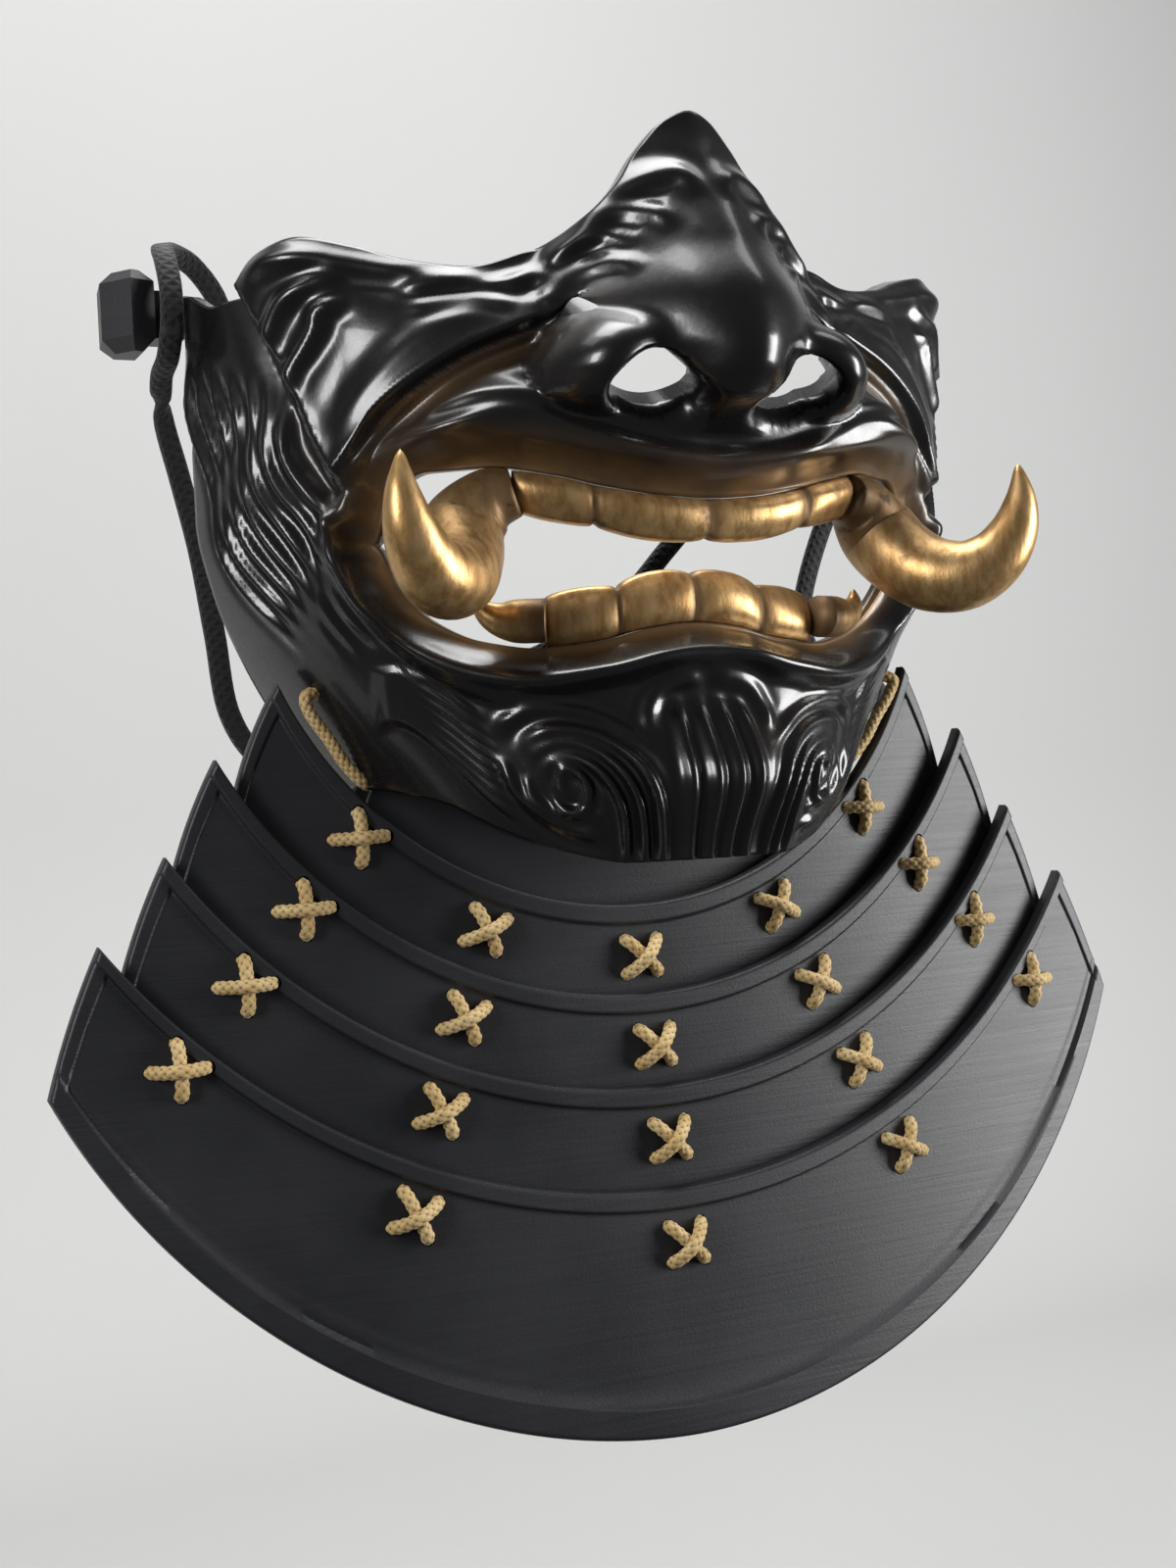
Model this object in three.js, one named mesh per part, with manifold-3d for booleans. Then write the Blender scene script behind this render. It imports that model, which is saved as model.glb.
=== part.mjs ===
// A lacquered face guard with a throat guard of laced plates, in millimetres.
// +X is to the right seen from the front, -Y is the front, +Z is up. The origin lies behind the
// chin wall, where the wearer's chin sits.
import * as THREE from 'three'
import { mergeVertices } from 'three/addons/utils/BufferGeometryUtils.js'
import Module from 'manifold-3d'

const wasm = await Module()
wasm.setup()

// ---------------------------------------------------------------- driving dimensions
const GAP = 0.3 // clear space between pieces that meet
const SIDES = [-1, 1] // left and right

const BACK_Y = 40 // the plane where the side walls run straight back
const WALL = 3 // thickness of the face shell
const REAR_ANGLE = 81 // degrees round from the nose to the rear edge
const MM_PER_DEGREE = 1.5 // distance along the shell for one degree

// Horizontal sections of the face without its nose: half width, and y of the front.
const SECTIONS = [
  { z: -20, half: 52, front: -35 },
  { z: 0, half: 62, front: -38 },
  { z: 15, half: 71, front: -36 },
  { z: 30, half: 79, front: -36 },
  { z: 45, half: 85, front: -42 },
  { z: 60, half: 88, front: -45 },
  { z: 75, half: 88, front: -44.5 },
  { z: 90, half: 88, front: -41 },
  { z: 105, half: 88, front: -34 },
  { z: 120, half: 87, front: -31 },
  { z: 135, half: 86, front: -29 },
]

// Edges of the shell, by degrees round from the centre line.
const TOP_EDGE = [
  { angle: 0, z: 132.5 },
  { angle: 3, z: 131 },
  { angle: 7, z: 125 },
  { angle: 11, z: 116.5 },
  { angle: 15, z: 110.5 },
  { angle: 21, z: 105.5 },
  { angle: 29, z: 103 },
  { angle: 36, z: 104.5 },
  { angle: 44, z: 108.5 },
  { angle: 51, z: 111 },
  { angle: 57, z: 108.5 },
  { angle: 63, z: 103.5 },
  { angle: 71, z: 103 },
  { angle: 81, z: 108 },
]
const BOTTOM_EDGE = [
  { angle: 0, z: -15.5 },
  { angle: 18, z: -15.5 },
  { angle: 32, z: -12.5 },
  { angle: 42, z: -8 },
  { angle: 52, z: 0 },
  { angle: 62, z: 5.5 },
  { angle: 72, z: 8 },
  { angle: 81, z: 13 },
]
const MOUTH_ANGLE = 48
const MOUTH_CORNER_Z = 50
const UPPER_GUM = [
  { angle: 0, z: 56 },
  { angle: 8, z: 56.8 },
  { angle: 15, z: 58.5 },
  { angle: 22, z: 61 },
  { angle: 31, z: 63 },
  { angle: 39, z: 63 },
  { angle: 44.5, z: 59.5 },
  { angle: 48, z: MOUTH_CORNER_Z },
]
const LOWER_GUM = [
  { angle: 0, z: 32 },
  { angle: 8, z: 31 },
  { angle: 16, z: 28.8 },
  { angle: 25, z: 28 },
  { angle: 34, z: 30 },
  { angle: 41, z: 34.5 },
  { angle: 45.5, z: 41 },
  { angle: 48, z: MOUTH_CORNER_Z },
]

// The nose: how far it stands out over the cheeks, and its half width.
const NOSE = [
  { z: 60, rise: 0, half: 24 },
  { z: 66, rise: 0.5, half: 27 },
  { z: 69, rise: 4, half: 29 },
  { z: 73, rise: 15, half: 30 },
  { z: 78, rise: 20.5, half: 31 },
  { z: 83, rise: 22, half: 32 },
  { z: 92, rise: 22.5, half: 32 },
  { z: 104, rise: 20, half: 30.5 },
  { z: 116, rise: 15.5, half: 28 },
  { z: 132, rise: 11, half: 23 },
]
const WING = { x: 24, z: 81, wide: 12, tall: 10.5, rise: 16.5 } // the rounded wing of a nostril
const NOSTRIL = { x: 15.5, y: -50, z: 75, wide: 9.4, tall: 7.5, tilt: 46, splay: 14, deep: 18 }
const NOSTRIL_PIT = { x: 16, z: 77, wide: 8, tall: 6, depth: 5 }

// Soft swellings and hollows of the shell, the same on both sides.
const SWELLINGS = [
  { name: 'cheekbone', angle: 53, z: 107, wide: 15, tall: 14, rise: 5.5 },
  { name: 'eye hollow', angle: 28, z: 101, wide: 10, tall: 10, rise: -2 },
  { name: 'muzzle', angle: 29, z: 74, wide: 14, tall: 6, rise: 3.5 },
  { name: 'under the nose', angle: 0, z: 64, wide: 7, tall: 4, rise: -1 },
  { name: 'chin', angle: 0, z: 1, wide: 26, tall: 9, rise: 4.5 },
  { name: 'chin fold', angle: 0, z: 17, wide: 26, tall: 4.5, rise: -2 },
  { name: 'jaw', angle: 62, z: 38, wide: 16, tall: 20, rise: 1.5 },
]
const LIP = { band: 6, drop: 4.5, ridge: 2.4, ridgeAt: 6.5, ridgeWide: 2.6 }

// Edge of the raised cheek plate, from its rear top corner round its tip to the nose.
const PLATE_EDGE = [
  { angle: 66, z: 112 },
  { angle: 61, z: 97 },
  { angle: 57, z: 82 },
  { angle: 53, z: 67 },
  { angle: 50.5, z: 62 },
  { angle: 47.5, z: 65.5 },
  { angle: 42, z: 74.5 },
  { angle: 32, z: 83.5 },
  { angle: 22, z: 89 },
  { angle: 16, z: 92 },
]
const PLATE = { lip: 3.6, body: 1.4, fade: 11, soft: 2.2, recess: 2.6, recessWide: 5 }

// Teeth: one row is one casting. Angles are the joints between the teeth.
const UPPER_TEETH = { joints: [-27.5, -16.5, 0, 16.5, 27.5], height: 8.6, deep: 6, proud: 1.6 }
const LOWER_TEETH = { joints: [-24.5, -12.5, 0, 12.5, 24.5], height: 11, deep: 6, proud: 1.6 }
const FANG = [
  { x: 36.5, y: -24.6, z: 33.8, radius: 4 },
  { x: 40.2, y: -23.8, z: 34.2, radius: 3.2 },
  { x: 42.6, y: -22.8, z: 36.4, radius: 2 },
  { x: 43, y: -22.5, z: 39.4, radius: 0.4 },
]
const TUSK = [
  { x: 46.5, y: -22, z: 54, radius: 7.6 },
  { x: 47.5, y: -26, z: 50.5, radius: 8.4 },
  { x: 49.5, y: -31, z: 45.5, radius: 8.2 },
  { x: 53, y: -37, z: 41, radius: 7.9 },
  { x: 58, y: -42.5, z: 40, radius: 7.3 },
  { x: 62.8, y: -46.5, z: 43, radius: 6.3 },
  { x: 66, y: -49, z: 48.5, radius: 5 },
  { x: 67.4, y: -50, z: 55, radius: 3.2 },
  { x: 67.3, y: -49.8, z: 62.3, radius: 0.5 },
]

// Knob that the strap loops round, for the right side: a neck on the shell, and a faceted head.
const KNOB = {
  neck: { x: [87.3, 94.2], y: [26.5, 34.5], z: [98.5, 108.5] },
  headPlan: [[93.6, 24.5], [98.8, 22.5], [104, 29], [103, 37.5], [93.6, 37.5]],
  headZ: [95.5, 112.5],
  chamfer: 2.6,
}

// Throat plates: arcs round one centre, each in front of the one above it.
const ARC_Z = 56 // height of the centre of all the arcs
const PLATE_THICK = 2.6
const BOW = 0.0013 // how fast a plate turns back towards its ends, per mm
const RIM = { tall: 3.8, proud: 1.1 }
const END_LEAN = 21 // degrees that an end edge leans outwards as it goes down
const END_LENGTH = 31
const THROAT_PLATES = [
  { name: 'collar', top: 66.5, bottom: 97, end: 53, y: 7, slope: 0 },
  { name: 'throat_plate_1', top: 82, bottom: 121, end: 67.4, y: 2.4, slope: 0 },
  { name: 'throat_plate_2', top: 101, bottom: 141, end: 62.5, y: -2.2, slope: 0.03 },
  { name: 'throat_plate_3', top: 120.5, bottom: 160, end: 57, y: -7, slope: 0.06 },
  { name: 'throat_plate_4', top: 141.5, bottom: 191.2, end: 54.4, y: -12.5, slope: 0.15 },
]
const LACE = {
  radius: 1.35, sides: 4, half: 3.8, hole: 2.3, holeSides: 5,
  below: 11.3, climb: 5, tail: 3, rest: 1.6, lifted: 3.7,
}
const LACE_ANGLES = [-43.5, -22.5, 0, 22.5, 43.5]

// The cord at each end of the collar: out through the shell, down over its edge and in through the
// collar, for the right side.
const COLLAR_LACE_ROUTE = [
  [62.5, 10.2, 22], [70.3, 6.9, 21.8], [70, 7.2, 18.2], [66.1, 7.5, 12.5], [62.9, 7.8, 7.5], [58.6, 8.8, 3.2],
  [55, 14.8, 3.2],
]

const STRAP = { wide: 4.8, thick: 2.6, stepLength: 18 }
const KNOB_MIDDLE = { x: 91, y: 30.5, z: 103.5 } // what the strap's two loops go round
// One closed loop of strap: round both knobs, and slack behind the face. Chosen by hand.
const STRAP_ROUTE = [
  [-91, 21.5, 100], [-91, 20.5, 107], [-91, 24, 114], [-90, 31, 118.5], [-86.5, 38.5, 120], [-80, 44.5, 118.5],
  [-74, 48, 111], [-71, 51, 96], [-70, 53, 74], [-70, 54, 50], [-66, 54.5, 28], [-54, 54, 18], [-34, 52, 20],
  [-6, 48, 30], [16, 44, 41], [32, 42, 57], [46, 43, 71], [62, 45, 80], [77, 45.5, 88], [86, 44, 99],
  [88.5, 41.5, 111], [90, 34, 117.5], [91, 26, 114.5], [91, 20.5, 107.5], [91, 21, 100], [91, 26, 93.5],
  [90, 34, 88.5], [85, 41, 78], [76.5, 44, 62], [70, 45, 42], [72, 44, 30.5], [81, 41, 26.5], [88.5, 39.5, 18],
  [84, 44, 7], [64, 52, -1], [34, 57, -4], [4, 59, -4], [-26, 58, -3], [-52, 55, 2], [-68, 51, 9],
  [-77, 46, 20], [-80, 44, 38], [-82.5, 44, 56], [-86, 43.5, 72], [-89.5, 40.5, 84], [-91, 34, 91.5],
  [-91, 26.5, 94.5],
]

// ---------------------------------------------------------------- small tools
const radians = THREE.MathUtils.degToRad
const bell = (x) => Math.exp(-x * x)
const smooth = (x) => THREE.MathUtils.smoothstep(x, 0, 1)
const steps = (from, to, count) =>
  Array.from({ length: count }, (_, i) => from + ((to - from) * i) / count)

// A smooth curve through the rows of a table, which never swings past its points.
function curve(rows, key, value) {
  const x = rows.map((row) => row[key])
  const y = rows.map((row) => row[value])
  const chord = x.slice(1).map((at, i) => (y[i + 1] - y[i]) / (at - x[i]))
  const slope = x.map((_, i) => {
    const before = chord[i - 1] ?? 0
    const after = chord[i] ?? 0
    return before * after > 0 ? (2 * before * after) / (before + after) : 0
  })
  return (at) => {
    const v = Math.min(Math.max(at, x[0]), x.at(-1))
    const i = Math.max(0, Math.min(x.length - 2, x.findIndex((edge) => edge >= v) - 1))
    const h = x[i + 1] - x[i]
    const t = (v - x[i]) / h
    const rise = y[i + 1] - y[i]
    return y[i] + rise * t * t * (3 - 2 * t) + h * t * (1 - t) * (slope[i] * (1 - t) - slope[i + 1] * t)
  }
}

// Distance from a point to a chain of points.
function distanceTo(chain, s, z) {
  let best = Infinity
  for (let i = 1; i < chain.length; i++) {
    const [s0, z0] = chain[i - 1]
    const ds = chain[i][0] - s0
    const dz = chain[i][1] - z0
    const t = Math.min(1, Math.max(0, ((s - s0) * ds + (z - z0) * dz) / (ds * ds + dz * dz)))
    best = Math.min(best, Math.hypot(s - s0 - t * ds, z - z0 - t * dz))
  }
  return best
}

function isInside(loop, s, z) {
  let inside = false
  loop.forEach(([s1, z1], i) => {
    const [s0, z0] = loop.at(i - 1)
    if (z0 > z !== z1 > z && s < ((s1 - s0) * (z - z0)) / (z1 - z0) + s0) inside = !inside
  })
  return inside
}

// A closed wall between an outer and an inner sheet with the same faces. Every open edge of the
// sheet is closed with a strip.
function wall(faces, outer, inner) {
  const count = outer.length
  const index = []
  const open = new Map()
  for (const face of faces) {
    index.push(...face, face[2] + count, face[1] + count, face[0] + count)
    face.forEach((from, i) => {
      const to = face[(i + 1) % 3]
      if (!open.delete(`${to},${from}`)) open.set(`${from},${to}`, [from, to])
    })
  }
  for (const [from, to] of open.values()) {
    index.push(from, from + count, to, to, from + count, to + count)
  }
  return solid([...outer, ...inner], index)
}

function solid(points, index) {
  const geometry = new THREE.BufferGeometry()
  geometry.setAttribute('position', new THREE.Float32BufferAttribute(points.flat(), 3))
  geometry.setIndex(index)
  return mergeVertices(geometry, 1e-4)
}

// Faces of a grid of rows and columns, in the order of its points.
function gridFaces(rows, columns, keep = () => true) {
  const faces = []
  for (let r = 0; r < rows - 1; r++) {
    for (let c = 0; c < columns - 1; c++) {
      const at = r * columns + c
      if (keep(r, c)) {
        faces.push([at, at + columns, at + 1], [at + 1, at + columns, at + columns + 1])
      }
    }
  }
  return faces
}

// A closed skin over rings of points that all run the same way round.
function loft(rings) {
  const sides = rings[0].length
  const index = []
  for (let r = 0; r < rings.length - 1; r++) {
    for (let i = 0; i < sides; i++) {
      const a = r * sides + i
      const b = r * sides + ((i + 1) % sides)
      index.push(a, b, a + sides, b, b + sides, a + sides)
    }
  }
  const last = (rings.length - 1) * sides
  for (let i = 1; i < sides - 1; i++) {
    index.push(0, i + 1, i, last, last + i, last + i + 1)
  }
  return solid(rings.flat(), index)
}

// A closed tube of changing radius along a chain of rows with x, y, z and radius.
function horn(rows, sides, side) {
  const path = new THREE.CatmullRomCurve3(rows.map((row) => new THREE.Vector3(row.x * side, row.y, row.z)))
  const frames = path.computeFrenetFrames(rows.length - 1)
  const rings = rows.map((row, r) =>
    Array.from({ length: sides }, (_, i) => {
      const turn = (i / sides) * 2 * Math.PI
      return new THREE.Vector3(row.x * side, row.y, row.z)
        .addScaledVector(frames.normals[r], row.radius * Math.cos(turn))
        .addScaledVector(frames.binormals[r], row.radius * Math.sin(turn))
        .toArray()
    }),
  )
  return loft(rings)
}

// The geometry with its places alone, so that corners can be merged.
function bare(geometry) {
  geometry.deleteAttribute('normal')
  geometry.deleteAttribute('uv')
  return geometry
}

function toManifold(geometry) {
  const merged = mergeVertices(bare(geometry), 1e-4)
  return new wasm.Manifold(
    new wasm.Mesh({
      numProp: 3,
      vertProperties: new Float32Array(merged.getAttribute('position').array),
      triVerts: new Uint32Array(merged.index.array),
    }),
  )
}

function toGeometry(manifold) {
  const mesh = manifold.getMesh()
  const geometry = new THREE.BufferGeometry()
  geometry.setAttribute('position', new THREE.Float32BufferAttribute(mesh.vertProperties, 3))
  geometry.setIndex([...mesh.triVerts])
  return geometry
}

// ---------------------------------------------------------------- the face shell
const halfWidth = curve(SECTIONS, 'z', 'half')
const frontY = curve(SECTIONS, 'z', 'front')
const topEdge = curve(TOP_EDGE, 'angle', 'z')
const bottomEdge = curve(BOTTOM_EDGE, 'angle', 'z')
const upperGum = curve(UPPER_GUM, 'angle', 'z')
const lowerGum = curve(LOWER_GUM, 'angle', 'z')
const noseRise = curve(NOSE, 'z', 'rise')
const noseHalf = curve(NOSE, 'z', 'half')

const onShell = (rows) => rows.map(({ angle, z }) => [angle * MM_PER_DEGREE, z])
const plateEdge = onShell(PLATE_EDGE)
const PLATE_TOP_Z = 140
const plateOutline = [...plateEdge, [plateEdge.at(-1)[0], PLATE_TOP_Z], [plateEdge[0][0], PLATE_TOP_Z]]
const mouthEdge = [...onShell(UPPER_GUM), ...onShell(LOWER_GUM).reverse().slice(1)]

// How far the nose stands out at a point of the front view.
function nose(x, z) {
  const across = Math.min(1, Math.abs(x) / noseHalf(z))
  const bridge = noseRise(z) * (1 - across ** 1.7) ** 1.35
  const away = Math.hypot((Math.abs(x) - WING.x) / WING.wide, (z - WING.z) / WING.tall)
  const wing = away < 1 ? WING.rise * (1 - away ** 2) ** 0.7 : 0
  const pit = bell((Math.abs(x) - NOSTRIL_PIT.x) / NOSTRIL_PIT.wide) * bell((z - NOSTRIL_PIT.z) / NOSTRIL_PIT.tall)
  return Math.max(0, Math.cbrt(bridge ** 3 + wing ** 3) - NOSTRIL_PIT.depth * pit)
}

// The cheek plate: proud at its edge, with a recess under it.
function cheekPlate(s, z) {
  const away = distanceTo(plateEdge, s, z)
  if (isInside(plateOutline, s, z)) {
    return (PLATE.body + (PLATE.lip - PLATE.body) * Math.exp(-away / PLATE.fade)) * smooth(away / PLATE.soft)
  }
  return -PLATE.recess * bell(away / PLATE.recessWide) * smooth(away / PLATE.soft)
}

// Relief of the shell, measured straight out of it.
function relief(degrees, z) {
  const angle = Math.abs(degrees)
  const s = angle * MM_PER_DEGREE
  let rise = cheekPlate(s, z)
  for (const swelling of SWELLINGS) {
    const across = (s - swelling.angle * MM_PER_DEGREE) / swelling.wide
    rise += swelling.rise * bell(across) * bell((z - swelling.z) / swelling.tall)
  }
  const away = distanceTo(mouthEdge, s, z)
  rise += LIP.ridge * bell((away - LIP.ridgeAt) / LIP.ridgeWide)
  return rise - LIP.drop * (1 - smooth(away / LIP.band))
}

function facePoint(degrees, z, depth = 0) {
  const turn = radians(degrees)
  const half = halfWidth(z) - depth
  const front = frontY(z) + depth
  const x = half * Math.sin(turn)
  const y = BACK_Y - (BACK_Y - front) * Math.cos(turn)
  const rise = relief(degrees, z)
  const carried = depth > 0 ? Math.min(rise, 0.35 * rise) : rise
  const room = 3.6
  const pulled = depth > 0 ? Math.min(nose(Math.abs(x) + room, z), nose(Math.abs(x) + room, z - room)) : nose(x, z)
  return [x + carried * Math.sin(turn), y - carried * Math.cos(turn) - pulled, z]
}

const HALF_COLUMNS = [
  ...steps(0, 24.5, 5), ...steps(24.5, 44.5, 4), ...steps(44.5, MOUTH_ANGLE, 2),
  ...steps(MOUTH_ANGLE, 66, 3), ...steps(66, REAR_ANGLE, 2), REAR_ANGLE,
]
const COLUMNS = [...HALF_COLUMNS.slice(1).map((angle) => -angle).reverse(), ...HALF_COLUMNS]
const UPPER_ROWS = [...steps(0, 0.6, 5), ...steps(0.6, 1, 8), 1]
const LOWER_ROWS = [...steps(0, 0.35, 3), ...steps(0.35, 1, 4), 1]

function faceShell() {
  const mouthLine = (gum) => (degrees) =>
    Math.abs(degrees) < MOUTH_ANGLE ? gum(Math.abs(degrees)) : MOUTH_CORNER_Z
  const band = (rows, from, to) =>
    rows.flatMap((t) => COLUMNS.map((degrees) => [degrees, from(degrees) * (1 - t) + to(degrees) * t]))
  const top = (degrees) => topEdge(Math.abs(degrees))
  const bottom = (degrees) => bottomEdge(Math.abs(degrees))
  const spots = [
    ...band(UPPER_ROWS, top, mouthLine(upperGum)),
    ...band(LOWER_ROWS, mouthLine(lowerGum), bottom),
  ]
  const columns = COLUMNS.length
  const firstLower = UPPER_ROWS.length * columns
  const join = firstLower - columns
  const faces = [
    ...gridFaces(UPPER_ROWS.length, columns),
    ...gridFaces(LOWER_ROWS.length, columns).map((face) => face.map((at) => at + firstLower)),
  ].map((face) =>
    face.map((at) => {
      const column = at - firstLower
      const onSeam = column >= 0 && column < columns && Math.abs(COLUMNS[column]) >= MOUTH_ANGLE
      return onSeam ? join + column : at
    }),
  )
  const outer = spots.map(([degrees, z]) => facePoint(degrees, z))
  const inner = spots.map(([degrees, z]) => facePoint(degrees, z, WALL))
  return wall(faces, outer, inner)
}

function nostrilCutter(side) {
  const tunnel = new THREE.CylinderGeometry(1, 1, NOSTRIL.deep, 14)
  tunnel.scale(NOSTRIL.wide, 1, NOSTRIL.tall)
  tunnel.rotateX(radians(NOSTRIL.tilt))
  tunnel.rotateZ(radians(-side * NOSTRIL.splay))
  return toManifold(tunnel.translate(side * NOSTRIL.x, NOSTRIL.y, NOSTRIL.z))
}

function maskShell() {
  const shell = toManifold(faceShell())
  const cutters = SIDES.flatMap((side) => [nostrilCutter(side), collarLaceDrill(side, 0, 1)])
  return toGeometry(cutters.reduce((left, cutter) => left.subtract(cutter), shell))
}

// ---------------------------------------------------------------- teeth, fangs and tusks
// Section of a tooth from the gum round its front: share of the height, and of the depth.
const TOOTH_SECTION = [[0, 0.25], [0.3, 0.02], [0.75, 0], [0.98, 0.22], [0.98, 0.72], [0.5, 1], [0, 1]]
const TOOTH_STEPS = 4

function teeth(row, gum, up) {
  const ends = row.joints.length - 2
  const stations = row.joints.slice(0, -1).flatMap((from, tooth) =>
    steps(0, 1, TOOTH_STEPS).map((t) => ({ degrees: from + (row.joints[tooth + 1] - from) * t, t, tooth })),
  )
  stations.push({ degrees: row.joints.at(-1), t: 1, tooth: ends })
  const rings = stations.map(({ degrees, t }) => {
    const belly = Math.sin(Math.PI * t) ** 0.5
    const height = row.height * (0.84 + 0.16 * belly)
    const turn = radians(degrees)
    const base = gum(Math.abs(degrees)) - up * GAP
    return TOOTH_SECTION.map(([tall, deep]) => {
      const z = base - up * tall * height
      const depth = LIP.drop - row.proud * belly * Math.sin(Math.PI * Math.min(1, tall + 0.15)) + deep * row.deep
      const reach = BACK_Y - frontY(base) - depth
      return [(halfWidth(base) - depth) * Math.sin(turn), BACK_Y - reach * Math.cos(turn), z]
    })
  })
  if (up < 0) rings.forEach((ring) => ring.reverse())
  return loft(rings)
}

// ---------------------------------------------------------------- strap knobs
function strapKnob(side) {
  const [low, high] = KNOB.headZ
  const outline = new THREE.Shape(KNOB.headPlan.map(([x, y]) => new THREE.Vector2(x * side, y)))
  const head = new THREE.ExtrudeGeometry(outline, {
    depth: high - low - 2 * KNOB.chamfer,
    bevelEnabled: true,
    bevelThickness: KNOB.chamfer,
    bevelSize: KNOB.chamfer,
    bevelOffset: -KNOB.chamfer,
    bevelSegments: 1,
  })
  const [width, depth, height] = ['x', 'y', 'z'].map((axis) => KNOB.neck[axis][1] - KNOB.neck[axis][0])
  const [x, y, z] = ['x', 'y', 'z'].map((axis) => (KNOB.neck[axis][1] + KNOB.neck[axis][0]) / 2)
  const neck = new THREE.BoxGeometry(width, depth, height).translate(side * x, y, z)
  return toGeometry(toManifold(bare(head.translate(0, 0, low + KNOB.chamfer))).add(toManifold(bare(neck))))
}

// ---------------------------------------------------------------- throat plates
// y of a plate's front face at a radius and an angle of its arcs.
function plateY(plate, radius, x) {
  return plate.y + BOW * x * x - plate.slope * (radius - plate.top - LACE.below)
}

function platePoint(plate, degrees, radius, depth = 0) {
  const turn = radians(degrees)
  const x = radius * Math.sin(turn)
  return [x, plateY(plate, radius, x) + depth, ARC_Z - radius * Math.cos(turn)]
}

// The end edge leans outwards, so the lower a point is, the further round it may lie.
function plateSpot(plate, across, down) {
  const lowEnd = endCorner(plate)
  const radiusAtEnd = plate.top + (lowEnd.radius - plate.top) * down
  const degreesAtEnd = plate.end + (lowEnd.degrees - plate.end) * down
  const middle = plate.top + (plate.bottom - plate.top) * down
  const radius = middle + (radiusAtEnd - middle) * across ** 1.8
  return { degrees: degreesAtEnd * across, radius }
}

function endCorner(plate) {
  const turn = radians(plate.end)
  const x = plate.top * Math.sin(turn) + END_LENGTH * Math.sin(radians(END_LEAN))
  const z = plate.top * Math.cos(turn) + END_LENGTH * Math.cos(radians(END_LEAN))
  return { radius: Math.hypot(x, z), degrees: THREE.MathUtils.radToDeg(Math.atan2(x, z)) }
}

const PLATE_COLUMNS = 14

// Section of a plate from its top edge round its front: share of the way down, and depth.
function plateSection(plate) {
  const rim = RIM.tall / (plate.bottom - plate.top)
  const step = 0.3 * rim
  const section = [[0, -RIM.proud], [rim, -RIM.proud], [rim + step, 0]]
  if (plate === THROAT_PLATES.at(-1)) {
    section.push([1 - 1.6 * rim - step, 0], [1 - 1.6 * rim, -RIM.proud], [1, -RIM.proud])
  } else {
    section.push([1, 0])
  }
  return [...section, [1, PLATE_THICK], [0, PLATE_THICK]]
}

function throatPlate(plate) {
  const section = plateSection(plate)
  const rings = [...steps(-1, 1, PLATE_COLUMNS), 1].map((across) =>
    section.map(([down, depth]) => {
      const spot = plateSpot(plate, Math.abs(across), down)
      return platePoint(plate, Math.sign(across) * spot.degrees, spot.radius, depth)
    }),
  )
  return loft(rings)
}

// ---------------------------------------------------------------- lacing
function lacePlace(plate, degrees) {
  const radius = plate.top + LACE.below - LACE.climb * (degrees / LACE_ANGLES.at(-1)) ** 2
  const turn = radians(degrees)
  const x = radius * Math.sin(turn)
  return { degrees, radius, turn, x, z: ARC_Z - radius * Math.cos(turn) }
}

// A point beside the middle of a cross, on the front face of the plate.
function besideCross(plate, place, across, down, depth) {
  const x = place.x + across * Math.cos(place.turn) + down * Math.sin(place.turn)
  const z = place.z + across * Math.sin(place.turn) - down * Math.cos(place.turn)
  return new THREE.Vector3(x, plateY(plate, Math.hypot(x, ARC_Z - z), x) + depth, z)
}

// A cord along a chain of points. Each ring stands square to the chain, with its corners carried
// over from the ring before, so the cord doesn't twist.
function cordAlong(points, radius, sides) {
  const corner = new THREE.Vector3(0, 0, 1)
  const rings = points.map((at, i) => {
    const ahead = points[Math.min(i + 1, points.length - 1)]
    const along = ahead.clone().sub(points[Math.max(i - 1, 0)]).normalize()
    corner.addScaledVector(along, -corner.dot(along)).normalize()
    const beside = along.clone().cross(corner)
    return Array.from({ length: sides }, (_, k) => {
      const turn = ((k + 0.5) / sides) * 2 * Math.PI
      return at.clone()
        .addScaledVector(corner, radius * Math.cos(turn))
        .addScaledVector(beside, radius * Math.sin(turn))
        .toArray()
    })
  })
  return toManifold(loft(rings))
}

// Depth of the middle of a cord that lies on the back of the plate behind this one.
function backOfInner(plate, inner, place) {
  const radius = place.radius - LACE.half
  return plateY(inner, radius, place.x) - plateY(plate, radius, place.x) + PLATE_THICK + LACE.radius + 2 * GAP
}

// One lacing: two crossed strands in front. At the top they pass through the plate behind too, and
// meet in a short stitch on its back. At the bottom they end between the two plates.
function laceCross(plate, inner, degrees) {
  const place = lacePlace(plate, degrees)
  const back = backOfInner(plate, inner, place)
  const lean = degrees > 0 ? 1 : -1
  const at = (across, down, depth) => besideCross(plate, place, across * LACE.half, down * LACE.half, depth)
  const bend = 0.84 // share of the way out to a hole where a strand turns into it
  const strand = (side, lift, stitch) => [
    at(-side, 1, LACE.tail), at(-bend * side, bend, -LACE.rest), ...lift,
    at(bend * side, -bend, -LACE.rest), ...stitch,
  ]
  const under = strand(lean, [], [at(lean, -1, back)])
  const over = strand(-lean, [at(0, 0, -LACE.lifted)], [at(-lean, -1, back), at(lean, -1, back - 0.2)])
  return toGeometry(cordAlong(under, LACE.radius, LACE.sides).add(cordAlong(over, LACE.radius, LACE.sides)))
}

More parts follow.
